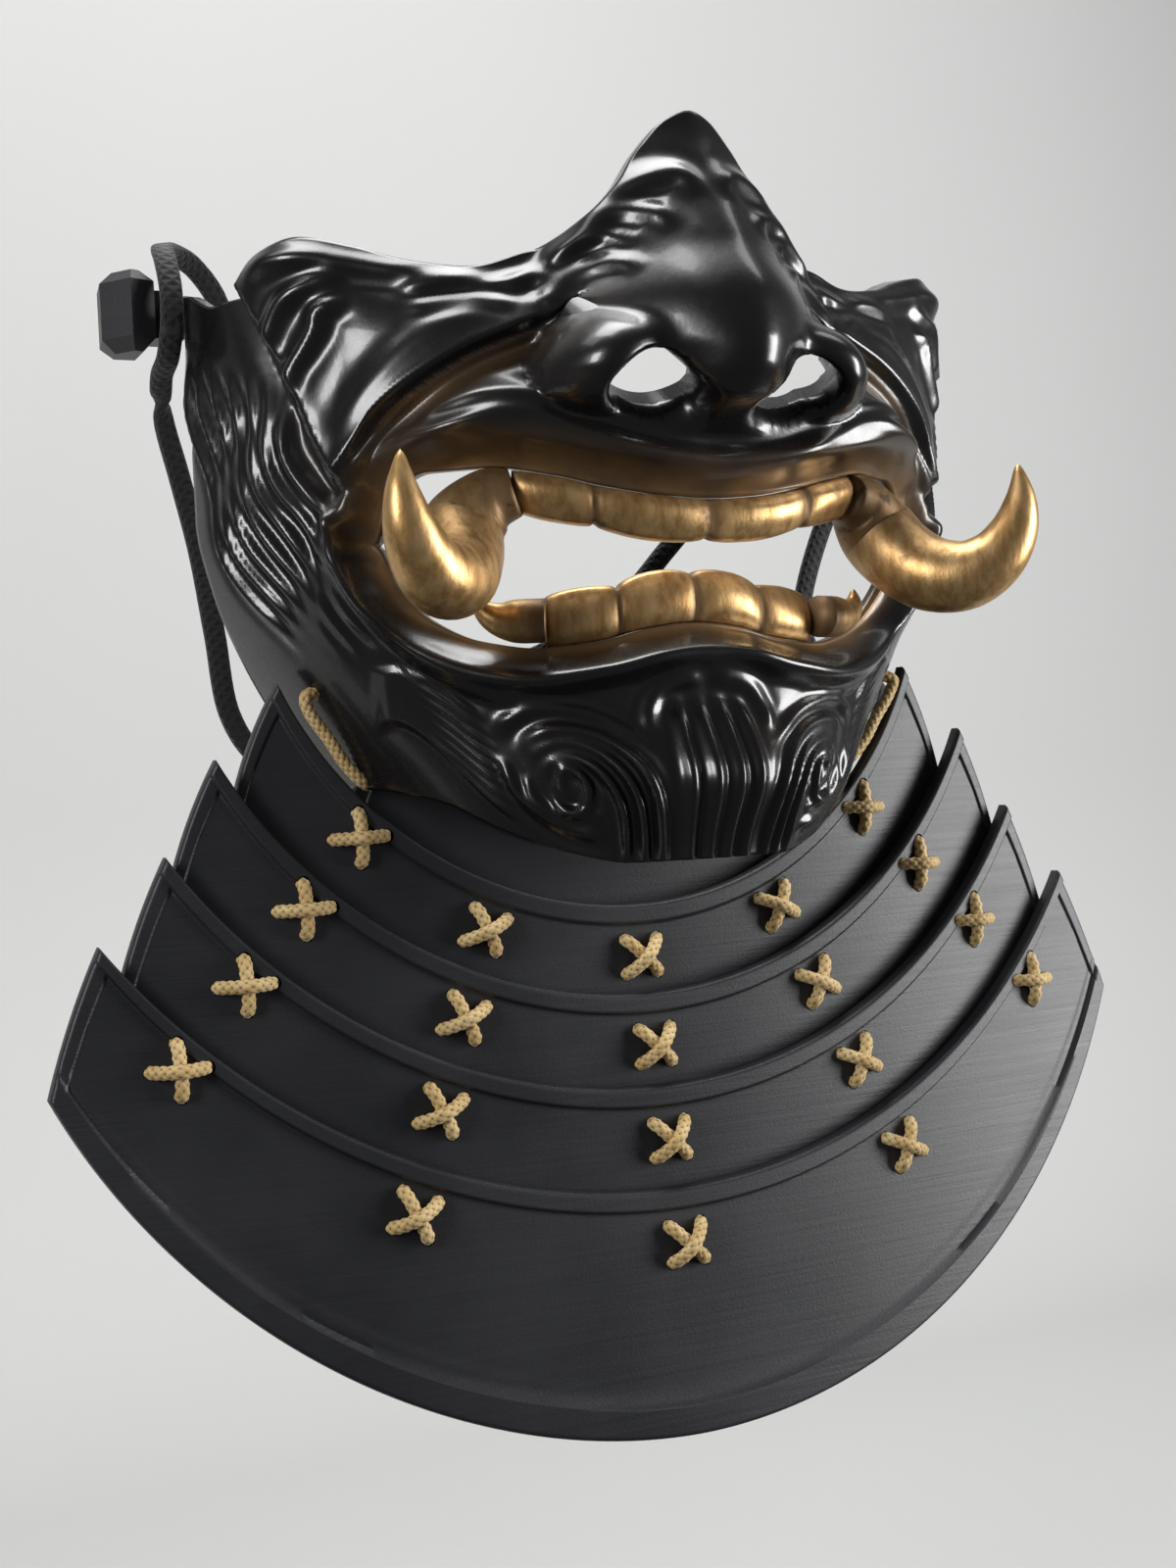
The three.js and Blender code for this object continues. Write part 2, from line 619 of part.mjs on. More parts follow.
// Holes for the cords of a plate. Its own crosses need four each, and the crosses of the plate in
// front of it need the upper two.
function drillHoles(plate, rows) {
  return LACE_ANGLES.flatMap((degrees) => {
    const place = lacePlace(plate, degrees)
    return SIDES.flatMap((across) =>
      rows.map((down) => {
        const at = besideCross(plate, place, across * LACE.half, down * LACE.half, 0)
        const drill = new THREE.CylinderGeometry(LACE.hole, LACE.hole, 6 * PLATE_THICK, LACE.holeSides)
        return toManifold(bare(drill.translate(at.x, at.y, at.z)))
      }),
    )
  })
}

function drilledPlate(plate, number) {
  const own = number > 0 ? drillHoles(plate, SIDES) : SIDES.map((side) => collarLaceDrill(side, -2, -1))
  const front = THROAT_PLATES[number + 1]
  const shared = front ? drillHoles(front, [-1]) : []
  return [...own, ...shared].reduce((left, drill) => left.subtract(drill), toManifold(throatPlate(plate)))
}

function collarLacePoints(side) {
  return COLLAR_LACE_ROUTE.map(([x, y, z]) => new THREE.Vector3(side * x, y, z))
}

function collarLace(side) {
  return toGeometry(cordAlong(collarLacePoints(side), LACE.radius, LACE.holeSides))
}

// A drill as long as it needs, along the first or the last stretch of a collar lace.
function collarLaceDrill(side, from, to) {
  const points = collarLacePoints(side)
  const start = points.at(from)
  const end = points.at(to)
  const past = end.clone().sub(start).multiplyScalar(0.6)
  return cordAlong([start.clone().sub(past), end.clone().add(past)], LACE.hole, LACE.holeSides)
}

// ---------------------------------------------------------------- strap
// The strap is flat. Round a knob its face lies towards the knob, and elsewhere it faces back.
function strapLoop() {
  const path = new THREE.CatmullRomCurve3(STRAP_ROUTE.map((at) => new THREE.Vector3(...at)), true)
  const count = Math.round(path.getLength() / STRAP.stepLength)
  const rings = Array.from({ length: count }, (_, r) => {
    const at = path.getPointAt(r / count)
    const along = path.getTangentAt(r / count)
    const off = at.z - KNOB_MIDDLE.z
    const lean = off * bell(off / 22) * bell((Math.abs(at.x) - KNOB_MIDDLE.x) / 12)
    const facing = new THREE.Vector3(0, at.y - KNOB_MIDDLE.y, lean)
    const across = along.clone().cross(facing).normalize()
    const through = across.clone().cross(along)
    return [[-1, -1], [1, -1], [1, 1], [-1, 1]].map(([u, v]) =>
      at.clone()
        .addScaledVector(across, (u * STRAP.wide) / 2)
        .addScaledVector(through, (-v * STRAP.thick) / 2)
        .toArray(),
    )
  })
  const sides = 4
  const index = rings.flatMap((_, r) =>
    Array.from({ length: sides }, (_, i) => {
      const next = (i + 1) % sides
      const ahead = ((r + 1) % count) * sides
      return [r * sides + i, r * sides + next, ahead + i, r * sides + next, ahead + next, ahead + i]
    }).flat(),
  )
  return solid(rings.flat(), index)
}

// ---------------------------------------------------------------- the assembly
const lacquer = new THREE.MeshStandardMaterial({ color: 0x0d0b0a, roughness: 0.16, metalness: 0 })
const satinBlack = new THREE.MeshStandardMaterial({ color: 0x1b1c1f, roughness: 0.42, metalness: 0 })
const antiqueGold = new THREE.MeshStandardMaterial({ color: 0xb98a45, roughness: 0.32, metalness: 0.9 })
const goldCord = new THREE.MeshStandardMaterial({ color: 0xd2b071, roughness: 0.7, metalness: 0 })
const blackCord = new THREE.MeshStandardMaterial({ color: 0x0b0b0c, roughness: 0.85, metalness: 0 })

const faceGuard = new THREE.Group()

function add(name, geometry, material) {
  const mesh = new THREE.Mesh(geometry, material)
  mesh.name = name
  faceGuard.add(mesh)
}

const sideName = (side) => (side < 0 ? 'left' : 'right')

add('mask_shell', maskShell(), lacquer)
add('upper_teeth', teeth(UPPER_TEETH, upperGum, 1), antiqueGold)
add('lower_teeth', teeth(LOWER_TEETH, lowerGum, -1), antiqueGold)
for (const side of SIDES) {
  add(`tusk_${sideName(side)}`, horn(TUSK, 8, side), antiqueGold)
  add(`fang_${sideName(side)}`, horn(FANG, 7, side), antiqueGold)
  add(`strap_knob_${sideName(side)}`, strapKnob(side), satinBlack)
}
THROAT_PLATES.forEach((plate, number) => {
  add(plate.name, toGeometry(drilledPlate(plate, number)), satinBlack)
  if (number > 0) {
    LACE_ANGLES.forEach((degrees, i) => {
      add(`lace_${number}_${i + 1}`, laceCross(plate, THROAT_PLATES[number - 1], degrees), goldCord)
    })
  }
})
for (const side of SIDES) {
  add(`collar_lace_${sideName(side)}`, collarLace(side), goldCord)
}
add('head_strap', strapLoop(), blackCord)

export default faceGuard
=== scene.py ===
# %% [markdown]
# # A lacquered face guard with its laced throat guard
# The real object is a half mask: a stiff shell over nose, cheeks and chin, cast and carved in low
# relief, lacquered black, with gilded teeth. Under the chin hangs a fan of five curved plates,
# laced to each other with gold cord, and a flat black strap runs round two side knobs.
#
# The exact solids were made elsewhere, in the same frame. This notebook puts a fine surface over
# each of them. It works in millimetres, and one helper turns them into Blender's metres.

# %% Load the exact solids
import math

import bpy
import numpy as np
from mathutils import Matrix


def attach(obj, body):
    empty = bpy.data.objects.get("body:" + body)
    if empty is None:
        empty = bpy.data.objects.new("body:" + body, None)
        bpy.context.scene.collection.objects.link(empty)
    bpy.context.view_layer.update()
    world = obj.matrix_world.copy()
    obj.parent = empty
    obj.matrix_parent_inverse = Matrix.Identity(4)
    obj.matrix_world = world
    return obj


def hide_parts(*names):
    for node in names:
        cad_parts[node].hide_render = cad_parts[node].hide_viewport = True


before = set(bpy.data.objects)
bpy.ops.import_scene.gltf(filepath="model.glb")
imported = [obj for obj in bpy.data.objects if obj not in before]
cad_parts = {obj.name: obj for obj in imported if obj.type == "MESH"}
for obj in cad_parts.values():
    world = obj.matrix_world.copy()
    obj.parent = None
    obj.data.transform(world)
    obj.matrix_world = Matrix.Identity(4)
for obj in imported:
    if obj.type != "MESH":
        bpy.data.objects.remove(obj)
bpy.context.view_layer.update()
MM = 0.001
SIDES = (-1, 1)

# %% [markdown]
# ## The camera
# A photographer holds the guard at arm's length and looks from a little to its left, level with
# the teeth. Two angles and a place are enough: the turn round the upright axis, and a slight roll
# of the camera. The lens follows from the height of the picture, as sensor height over field.

# %% Camera
CAMERA = {"place": (-182.8, -382.7, 0.6), "turn": 24.1, "roll": -3.0, "lens": 30.0, "sensor": 24.0}


def camera_axes(turn, roll):
    """Right, up and back of a level camera turned round Z, then rolled about its own view."""
    t, r = math.radians(turn), math.radians(roll)
    ahead = np.array([math.sin(t), math.cos(t), 0.0])
    level = np.array([math.cos(t), -math.sin(t), 0.0])
    down = np.array([0.0, 0.0, -1.0])
    right = math.cos(r) * level - math.sin(r) * down
    lower = math.sin(r) * level + math.cos(r) * down
    return right, -lower, -ahead


camera = bpy.data.objects.new("camera", bpy.data.cameras.new("camera"))
bpy.context.scene.collection.objects.link(camera)
camera.data.sensor_fit = "VERTICAL"
camera.data.sensor_height = CAMERA["sensor"]
camera.data.lens = CAMERA["lens"]
axes = camera_axes(CAMERA["turn"], CAMERA["roll"])
pose = np.eye(4)
pose[:3, :3] = np.transpose(axes)
pose[:3, 3] = np.array(CAMERA["place"]) * MM
camera.matrix_world = Matrix(pose.tolist())
bpy.context.scene.camera = camera
print("camera at", CAMERA["place"], "mm, lens", CAMERA["lens"], "mm")

# %% [markdown]
# ## Surfaces from arrays
# Nearly every piece here is a sheet of points in rows and columns. Some close round on themselves,
# as a tube does, and some end in a cap. One function turns such a sheet into a mesh, with whole
# arrays and no loop over points, so that it stays quick when a sheet has fifty thousand of them.

# %% Mesh helpers
def add_mesh(name, points, quads, smooth=True, triangles=None):
    """A mesh object from points in millimetres and four-cornered faces, plus some triangles."""
    mesh = bpy.data.meshes.new(name)
    corners = [np.asarray(quads, dtype=np.int32).reshape(-1, 4)]
    sizes = [np.full(len(corners[0]), 4, dtype=np.int32)]
    if triangles is not None and len(triangles):
        corners.append(np.asarray(triangles, dtype=np.int32).reshape(-1, 3))
        sizes.append(np.full(len(corners[1]), 3, dtype=np.int32))
    flat = np.concatenate([c.ravel() for c in corners])
    size = np.concatenate(sizes)
    mesh.vertices.add(len(points))
    mesh.vertices.foreach_set("co", (np.asarray(points, dtype=np.float64) * MM).ravel())
    mesh.loops.add(len(flat))
    mesh.loops.foreach_set("vertex_index", flat)
    mesh.polygons.add(len(size))
    mesh.polygons.foreach_set("loop_start", np.concatenate([[0], np.cumsum(size)[:-1]]).astype(np.int32))
    mesh.polygons.foreach_set("use_smooth", np.full(len(size), smooth))
    mesh.update(calc_edges=True)
    mesh.validate()
    obj = bpy.data.objects.new(name, mesh)
    bpy.context.scene.collection.objects.link(obj)
    return obj


def grid_quads(rows, columns, wrap_rows=False, wrap_columns=False):
    """Faces of a sheet of points in rows and columns, which may close on itself either way."""
    r = np.arange(rows if wrap_rows else rows - 1)[:, None]
    c = np.arange(columns if wrap_columns else columns - 1)[None, :]
    up, over = (r + 1) % rows, (c + 1) % columns
    return np.stack(np.broadcast_arrays(
        r * columns + c, r * columns + over, up * columns + over, up * columns + c), -1).reshape(-1, 4)


def add_tube(name, rings, closed=False, smooth=True):
    """Skin over rings of points (count, sides, 3). Open tubes get a fan of triangles at each end."""
    count, sides, _ = rings.shape
    points = rings.reshape(-1, 3)
    quads = grid_quads(count, sides, wrap_rows=closed, wrap_columns=True)
    caps = None
    if not closed:
        tips = np.stack([rings[0].mean(0), rings[-1].mean(0)])
        around = np.arange(sides)
        ahead = (around + 1) % sides
        first, last = len(points), len(points) + 1
        end = (count - 1) * sides
        caps = np.concatenate([
            np.stack([np.full(sides, first), ahead, around], 1),
            np.stack([np.full(sides, last), end + around, end + ahead], 1)])
        points = np.concatenate([points, tips])
    obj = add_mesh(name, points, quads, smooth, caps)
    if signed_volume(obj) < 0:
        obj.data.flip_normals()
    return obj


def signed_volume(obj):
    """Volume of a closed mesh, negative when its faces point inwards."""
    mesh = obj.data
    mesh.calc_loop_triangles()
    tri = np.empty(len(mesh.loop_triangles) * 3, dtype=np.int32)
    mesh.loop_triangles.foreach_get("vertices", tri)
    co = np.empty(len(mesh.vertices) * 3)
    mesh.vertices.foreach_get("co", co)
    a, b, c = co.reshape(-1, 3)[tri.reshape(-1, 3)].transpose(1, 0, 2)
    return float(np.einsum("ij,ij->", a, np.cross(b, c)) / 6)


def paint(obj, name, values):
    """Keeps one number for each point of a mesh, for its material to read."""
    layer = obj.data.attributes.new(name, "FLOAT", "POINT")
    layer.data.foreach_set("value", np.asarray(values, dtype=np.float32).ravel())


def dress(obj, material, slot, *nodes):
    """Gives a new piece its material and lets it stand for solids. The slot is not used."""
    obj.data.materials.clear()
    obj.data.materials.append(material)
    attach(obj, "root")
    if nodes:
        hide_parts(*nodes)
    return obj


# %% [markdown]
# ## Curves through tables
# Widths, edges and heights are given as short tables, and a smooth curve runs through the rows.
# Each stretch is a cubic whose end slopes are the harmonic mean of the neighbouring chords. Unlike
# a plain spline it never swings past a row, so an edge doesn't get a bump that nobody asked for.

# %% Curve helpers
def curve(rows):
    """Smooth curve through rows of (x, y): a cubic per stretch, flat where the rows turn back."""
    x, y = np.array(rows, dtype=float).T
    chord = np.diff(y) / np.diff(x)
    before, after = np.r_[0, chord], np.r_[chord, 0]
    both = before * after
    slope = np.where(both > 0, 2 * both / np.where(before + after == 0, 1, before + after), 0)

    def value(at):
        v = np.clip(at, x[0], x[-1])
        i = np.clip(np.searchsorted(x, v) - 1, 0, len(x) - 2)
        h = x[i + 1] - x[i]
        t = (v - x[i]) / h
        rise = y[i + 1] - y[i]
        bend = slope[i] * (1 - t) - slope[i + 1] * t
        return y[i] + rise * t * t * (3 - 2 * t) + h * t * (1 - t) * bend

    return value


def smooth(x):
    """Goes from 0 to 1 with flat ends: 3x2 - 2x3 between 0 and 1."""
    t = np.clip(x, 0, 1)
    return t * t * (3 - 2 * t)


def bell(x):
    return np.exp(-x * x)


def spline(points, count, closed=False):
    """Catmull-Rom curve through points, sampled evenly along its length."""
    p = np.array(points, dtype=float)
    ends = (p[[-1]], p[[0, 1]]) if closed else (2 * p[[0]] - p[[1]], 2 * p[[-1]] - p[[-2]])
    q = np.concatenate([ends[0], p, ends[1]])
    spans = len(q) - 3
    t = np.linspace(0, spans, spans * 24 + 1)
    i = np.minimum(t.astype(int), spans - 1)
    u = (t - i)[:, None]
    a, b, c, d = q[i], q[i + 1], q[i + 2], q[i + 3]
    fine = 0.5 * (2 * b + (c - a) * u + (2 * a - 5 * b + 4 * c - d) * u**2 + (3 * b - a - 3 * c + d) * u**3)
    run = np.r_[0, np.cumsum(np.linalg.norm(np.diff(fine, axis=0), axis=1))]
    even = np.linspace(0, run[-1], count + 1)[:-1] if closed else np.linspace(0, run[-1], count)
    return np.stack([np.interp(even, run, fine[:, k]) for k in range(p.shape[1])], 1)


def distance_to(chain, s, z):
    """Distance from each point to a chain of straight pieces, and how far along it that is, 0 to 1."""
    chain = np.asarray(chain, dtype=float)
    length = np.r_[0, np.cumsum(np.linalg.norm(np.diff(chain, axis=0), axis=1))]
    best = np.full(np.shape(s), np.inf)
    along = np.zeros(np.shape(s))
    for (s0, z0), (s1, z1), run, end in zip(chain[:-1], chain[1:], length[:-1], length[1:]):
        ds, dz = s1 - s0, z1 - z0
        t = np.clip(((s - s0) * ds + (z - z0) * dz) / (ds * ds + dz * dz), 0, 1)
        away = np.hypot(s - s0 - t * ds, z - z0 - t * dz)
        nearer = away < best
        along = np.where(nearer, (run + t * (end - run)) / length[-1], along)
        best = np.where(nearer, away, best)
    return best, along


def is_inside(loop, s, z):
    """Even-odd test: counts the edges of a closed loop that lie to one side of each point."""
    inside = np.zeros(np.shape(s), dtype=bool)
    for (s1, z1), (s0, z0) in zip(loop, np.roll(loop, 1, axis=0)):
        if z0 != z1:
            crosses = ((z0 > z) != (z1 > z)) & (s < (s1 - s0) * (z - z0) / (z1 - z0) + s0)
            inside ^= crosses
    return inside

# %% [markdown]
# ## The strap
# A flat black strap is tied into one loop. It goes round the knob on each side and hangs slack
# behind the face, where the mouth shows two runs of it. Its length is that of its own middle line,
# so the route comes first, and the section is carried along it: wide across, thin towards what it
# lies on. Round a knob that is the knob, and elsewhere it is straight back.

# %% Strap route and tube
STRAP = {"wide": 4.8, "thick": 2.6, "rings": 520, "around": 16}
KNOB_MIDDLE = {"x": 91, "y": 30.5, "z": 103.5}
STRAP_ROUTE = [
    (-91, 21.5, 100), (-91, 20.5, 107), (-91, 24, 114), (-90, 31, 118.5), (-86.5, 38.5, 120),
    (-80, 44.5, 118.5), (-74, 48, 111), (-71, 51, 96), (-70, 53, 74), (-70, 54, 50),
    (-66, 54.5, 28), (-54, 54, 18), (-34, 52, 20), (-6, 48, 30), (16, 44, 41), (32, 42, 57),
    (46, 43, 71), (62, 45, 80), (77, 45.5, 88), (86, 44, 99), (88.5, 41.5, 111), (90, 34, 117.5),
    (91, 26, 114.5), (91, 20.5, 107.5), (91, 21, 100), (91, 26, 93.5), (90, 34, 88.5),
    (85, 41, 78), (76.5, 44, 62), (70, 45, 42), (72, 44, 30.5), (81, 41, 26.5), (88.5, 39.5, 18),
    (84, 44, 7), (64, 52, -1), (34, 57, -4), (4, 59, -4), (-26, 58, -3), (-52, 55, 2),
    (-68, 51, 9), (-77, 46, 20), (-80, 44, 38), (-82.5, 44, 56), (-86, 43.5, 72),
    (-89.5, 40.5, 84), (-91, 34, 91.5), (-91, 26.5, 94.5),
]


def strap_rings(path):
    """Rounded flat section along a closed path; the thin way points at the knob when near one."""
    along = np.roll(path, -1, 0) - np.roll(path, 1, 0)
    along /= np.linalg.norm(along, axis=1)[:, None]
    off = path[:, 2] - KNOB_MIDDLE["z"]
    lean = off * bell(off / 22) * bell((np.abs(path[:, 0]) - KNOB_MIDDLE["x"]) / 12)
    facing = np.stack([0 * off, path[:, 1] - KNOB_MIDDLE["y"], lean], 1)
    across = np.cross(along, facing)
    across /= np.linalg.norm(across, axis=1)[:, None]
    through = np.cross(across, along)
    turn = np.linspace(0, 2 * np.pi, STRAP["around"], endpoint=False)
    wide = np.sign(np.cos(turn)) * np.abs(np.cos(turn)) ** 0.6 * STRAP["wide"] / 2
    thick = np.sign(np.sin(turn)) * np.abs(np.sin(turn)) ** 0.75 * STRAP["thick"] / 2
    return path[:, None] + wide[None, :, None] * across[:, None] + thick[None, :, None] * through[:, None]


strap_path = spline(STRAP_ROUTE, STRAP["rings"], closed=True)
strap_length = float(np.linalg.norm(strap_path - np.roll(strap_path, 1, 0), axis=1).sum())
strap = add_tube("strap_loop", strap_rings(strap_path), closed=True)
print("strap", round(strap_length), "mm long")

# %% [markdown]
# ## The face shell: its base
# Seen from above the bare face is half an ellipse: the nose is at its front and the side walls run
# straight back. A point is named by its angle round from the nose and its height, and the tables
# give the ellipse's half width and its front at each height. The nose stands out straight to the
# front, because it would spread like a fan if it followed the ellipse.

# %% Base tables of the shell
BACK_Y, WALL, REAR, MM_PER_DEGREE = 40.0, 3.0, 81.0, 1.5
half_width = curve([(-20, 52), (0, 62), (15, 71), (30, 79), (45, 85), (60, 88), (75, 88), (90, 88),
                    (105, 88), (120, 87), (135, 86)])
front_y = curve([(-20, -35), (0, -38), (15, -36), (30, -36), (45, -42), (60, -45), (75, -44.5),
                 (90, -41), (105, -34), (120, -31), (135, -29)])
top_edge = curve([(0, 132.5), (3, 131), (7, 125), (11, 116.5), (15, 110.5), (21, 105.5), (29, 103),
                  (36, 104.5), (44, 108.5), (51, 111), (57, 108.5), (63, 103.5), (71, 103), (81, 108)])
bottom_edge = curve([(0, -15.5), (18, -15.5), (32, -12.5), (42, -8), (52, -1.5), (62, 1.2), (72, 2.5), (81, 10)])
MOUTH_ANGLE, MOUTH_CORNER = 48.0, 50.0
upper_gum = curve([(0, 56), (8, 56.8), (15, 58.5), (22, 61), (31, 63), (39, 63), (44.5, 59.5), (48, 50)])
lower_gum = curve([(0, 32), (8, 31), (16, 28.8), (25, 28), (34, 30), (41, 34.5), (45.5, 41), (48, 50)])
nose_rise = curve([(60, 0), (66, 0.5), (69, 4), (73, 15), (78, 20.5), (83, 22), (92, 22.5), (104, 20),
                   (116, 15.5), (132, 11)])
nose_half = curve([(60, 24), (66, 27), (69, 29), (73, 30), (78, 31), (83, 32), (92, 32), (104, 30.5),
                   (116, 28), (132, 23)])
WING = {"x": 24, "z": 81, "wide": 12, "tall": 10.5, "rise": 16.5}
PIT = {"x": 16, "z": 77, "wide": 8, "tall": 6, "depth": 5}
SWELLINGS = [  # name, angle, height, how wide and tall in millimetres, how far it stands out
    ("cheekbone", 53, 107, 15, 14, 5.5),
    ("eye hollow", 28, 101, 10, 10, -2),
    ("muzzle", 29, 74, 14, 6, 3.5),
    ("under the nose", 0, 64, 7, 4, -1),
    ("chin", 0, 1, 26, 9, 4.5),
    ("chin fold", 0, 17, 26, 4.5, -2),
    ("jaw", 62, 38, 16, 20, 1.5),
]
LIP = {"band": 6, "drop": 4.5, "ridge": 2.4, "ridge_at": 6.5, "ridge_wide": 2.6}
PLATE_EDGE = [(66, 112), (61, 97), (57, 82), (53, 67), (50.5, 62), (47.5, 65.5), (42, 74.5),
              (32, 83.5), (22, 89), (16, 92)]
PLATE = {"lip": 3.6, "body": 1.4, "fade": 11, "soft": 2.2, "recess": 2.6, "recess_wide": 5, "nose_fade": 12}


def on_shell(rows):
    """Angles and heights as millimetres along the shell and heights."""
    return np.array(rows, dtype=float) * (MM_PER_DEGREE, 1)


gum_angles = np.linspace(0, MOUTH_ANGLE, 64)
mouth_edge = on_shell(np.concatenate([
    np.stack([gum_angles, upper_gum(gum_angles)], 1),
    np.stack([gum_angles, lower_gum(gum_angles)], 1)[::-1][1:]]))
plate_edge = spline(on_shell(PLATE_EDGE), 90)
plate_outline = np.concatenate([plate_edge, [(plate_edge[-1, 0], 140), (plate_edge[0, 0], 140)]])
print("mouth edge has", len(mouth_edge), "points, cheek plate edge", len(plate_edge))


# %% The nose, the cheek plate and the swellings
def nose(x, z):
    """Bridge and nostril wings, joined by the cube root of their cubes, less a pit at each nostril."""
    across = np.minimum(1, np.abs(x) / nose_half(z))
    bridge = nose_rise(z) * (1 - across**1.7) ** 1.35
    away = np.hypot((np.abs(x) - WING["x"]) / WING["wide"], (z - WING["z"]) / WING["tall"])
    wing = WING["rise"] * np.maximum(0, 1 - away**2) ** 0.7
    pit = bell((np.abs(x) - PIT["x"]) / PIT["wide"]) * bell((z - PIT["z"]) / PIT["tall"])
    return np.maximum(0, np.cbrt(bridge**3 + wing**3) - PIT["depth"] * pit)


def cheek_plate(s, z):
    """Proud just inside the plate's edge, sunk just outside it, and level a little further off."""
    away, _ = distance_to(plate_edge, s, z)
    body = PLATE["body"] + (PLATE["lip"] - PLATE["body"]) * np.exp(-away / PLATE["fade"])
    soft = smooth(away / PLATE["soft"])
    recess = -PLATE["recess"] * bell(away / PLATE["recess_wide"])
    to_nose = smooth((s - plate_edge[-1, 0]) / PLATE["nose_fade"])
    return np.where(is_inside(plate_outline, s, z), body, recess) * soft * to_nose


def swellings(s, z):
    """Sum of soft humps and hollows, each a bell both along and up the shell."""
    return sum(rise * bell((s - angle * MM_PER_DEGREE) / wide) * bell((z - height) / tall)
               for _, angle, height, wide, tall, rise in SWELLINGS)


def lips(s, z):
    """A rolled ridge a little way out from the mouth's edge, and a fall from there to the edge."""
    away, _ = distance_to(mouth_edge, s, z)
    return LIP["ridge"] * bell((away - LIP["ridge_at"]) / LIP["ridge_wide"]) - LIP["drop"] * (1 - smooth(away / LIP["band"]))


def relief(degrees, z):
    s = np.abs(degrees) * MM_PER_DEGREE
    return cheek_plate(s, z) + swellings(s, z) + lips(s, z)

# %% [markdown]
# ## The face shell: its sheet
# The outer skin is one sheet of points from the top edge down to the mouth, and a second one from
# the mouth down to the chin's edge. Past the corners of the mouth the two share their points, so
# there is no seam. Where a nostril goes through, the cells inside an ellipse are left out and the
# points around it are slid onto it, which gives a clean round rim where a boolean cut would leave
# slivers. The skin then rolls inwards at that rim.

# %% Points of the sheet
half_columns = np.concatenate([
    np.linspace(0, 24, 43, endpoint=False), np.linspace(24, 43, 31, endpoint=False),
    np.linspace(43, 48, 9, endpoint=False), np.linspace(48, 66, 29, endpoint=False),
    np.linspace(66, REAR, 22)])
columns = np.concatenate([-half_columns[:0:-1], half_columns])
upper_rows = np.concatenate([np.linspace(0, 0.9, 86, endpoint=False), np.linspace(0.9, 1, 13)])
lower_rows = np.concatenate([np.linspace(0, 0.12, 12, endpoint=False), np.linspace(0.12, 1, 60)])


def mouth_line(gum):
    angle = np.abs(columns)
    return np.where(angle < MOUTH_ANGLE, gum(angle), MOUTH_CORNER)


def band(rows, start, end):
    """Angles and heights of a sheet whose rows go evenly from one edge to another."""
    z = start[None, :] * (1 - rows[:, None]) + end[None, :] * rows[:, None]
    return np.stack([np.broadcast_to(columns[None, :], z.shape), z], -1).reshape(-1, 2)


spots = np.concatenate([
    band(upper_rows, top_edge(np.abs(columns)), mouth_line(upper_gum)),
    band(lower_rows, mouth_line(lower_gum), bottom_edge(np.abs(columns)))])
wide = len(columns)
first_lower = len(upper_rows) * wide
faces = np.concatenate([grid_quads(len(upper_rows), wide),
                        grid_quads(len(lower_rows), wide) + first_lower])
seam = first_lower + np.nonzero(np.abs(columns) >= MOUTH_ANGLE)[0]
moved = np.arange(len(spots))
moved[seam] = seam - wide
faces = moved[faces]
print(len(spots), "points in the sheet,", len(faces), "faces")

# %% Nostrils
NOSTRIL = {"x": 15.5, "y": -50, "z": 75, "wide": 8.8, "tall": 6.2, "tilt": 46, "splay": 14}
NOSTRIL_ROLL = {"reach": 0.42, "deep": 4.6, "wall": 5.5}


def nostril_axes(side):
    """Across, up and along of a nostril's tunnel: tilted upwards to the back, and turned aside."""
    tilt, splay = math.radians(NOSTRIL["tilt"]), -side * math.radians(NOSTRIL["splay"])
    turn = np.array([[math.cos(splay), -math.sin(splay), 0], [math.sin(splay), math.cos(splay), 0], [0, 0, 1]])
    return (turn @ (1, 0, 0), turn @ (0, -math.sin(tilt), math.cos(tilt)),
            turn @ (0, math.cos(tilt), math.sin(tilt)))


def ellipse(points, side):
    """1 on the rim of a nostril's tunnel, less inside it, and 0 on its axis."""
    across, up, _ = nostril_axes(side)
    off = points - (side * NOSTRIL["x"], NOSTRIL["y"], NOSTRIL["z"])
    return np.hypot(off @ across / NOSTRIL["wide"], off @ up / NOSTRIL["tall"])


def at_nostril(points, side):
    """The same, but large for points that aren't near the nostril's opening."""
    near = np.hypot(points[:, 0] - side * NOSTRIL["x"], points[:, 2] - NOSTRIL["z"]) < 22
    return np.where(near & (points[:, 1] < -35), ellipse(points, side), 9.0)


# %% Outer and inner skin
def outward(degrees):
    turn = np.radians(degrees)
    return np.stack([np.sin(turn), -np.cos(turn), 0 * turn], -1)


def skin(spots, rise, depth=0.0):
    """Places of the sheet: a point of the ellipse, moved out by its relief and ahead by the nose."""
    degrees, z = spots.T
    turn = np.radians(degrees)
    x = (half_width(z) - depth) * np.sin(turn)
    y = BACK_Y - (BACK_Y - front_y(z) - depth) * np.cos(turn)
    if depth:
        rise = np.minimum(rise, 0.35 * rise)
        ahead = np.minimum(nose(np.abs(x) + 3.6, z), nose(np.abs(x) + 3.6, z - 3.6))
    else:
        ahead = nose(x, z)
    points = np.stack([x, y - ahead, z], -1)
    return points + rise[:, None] * outward(degrees)


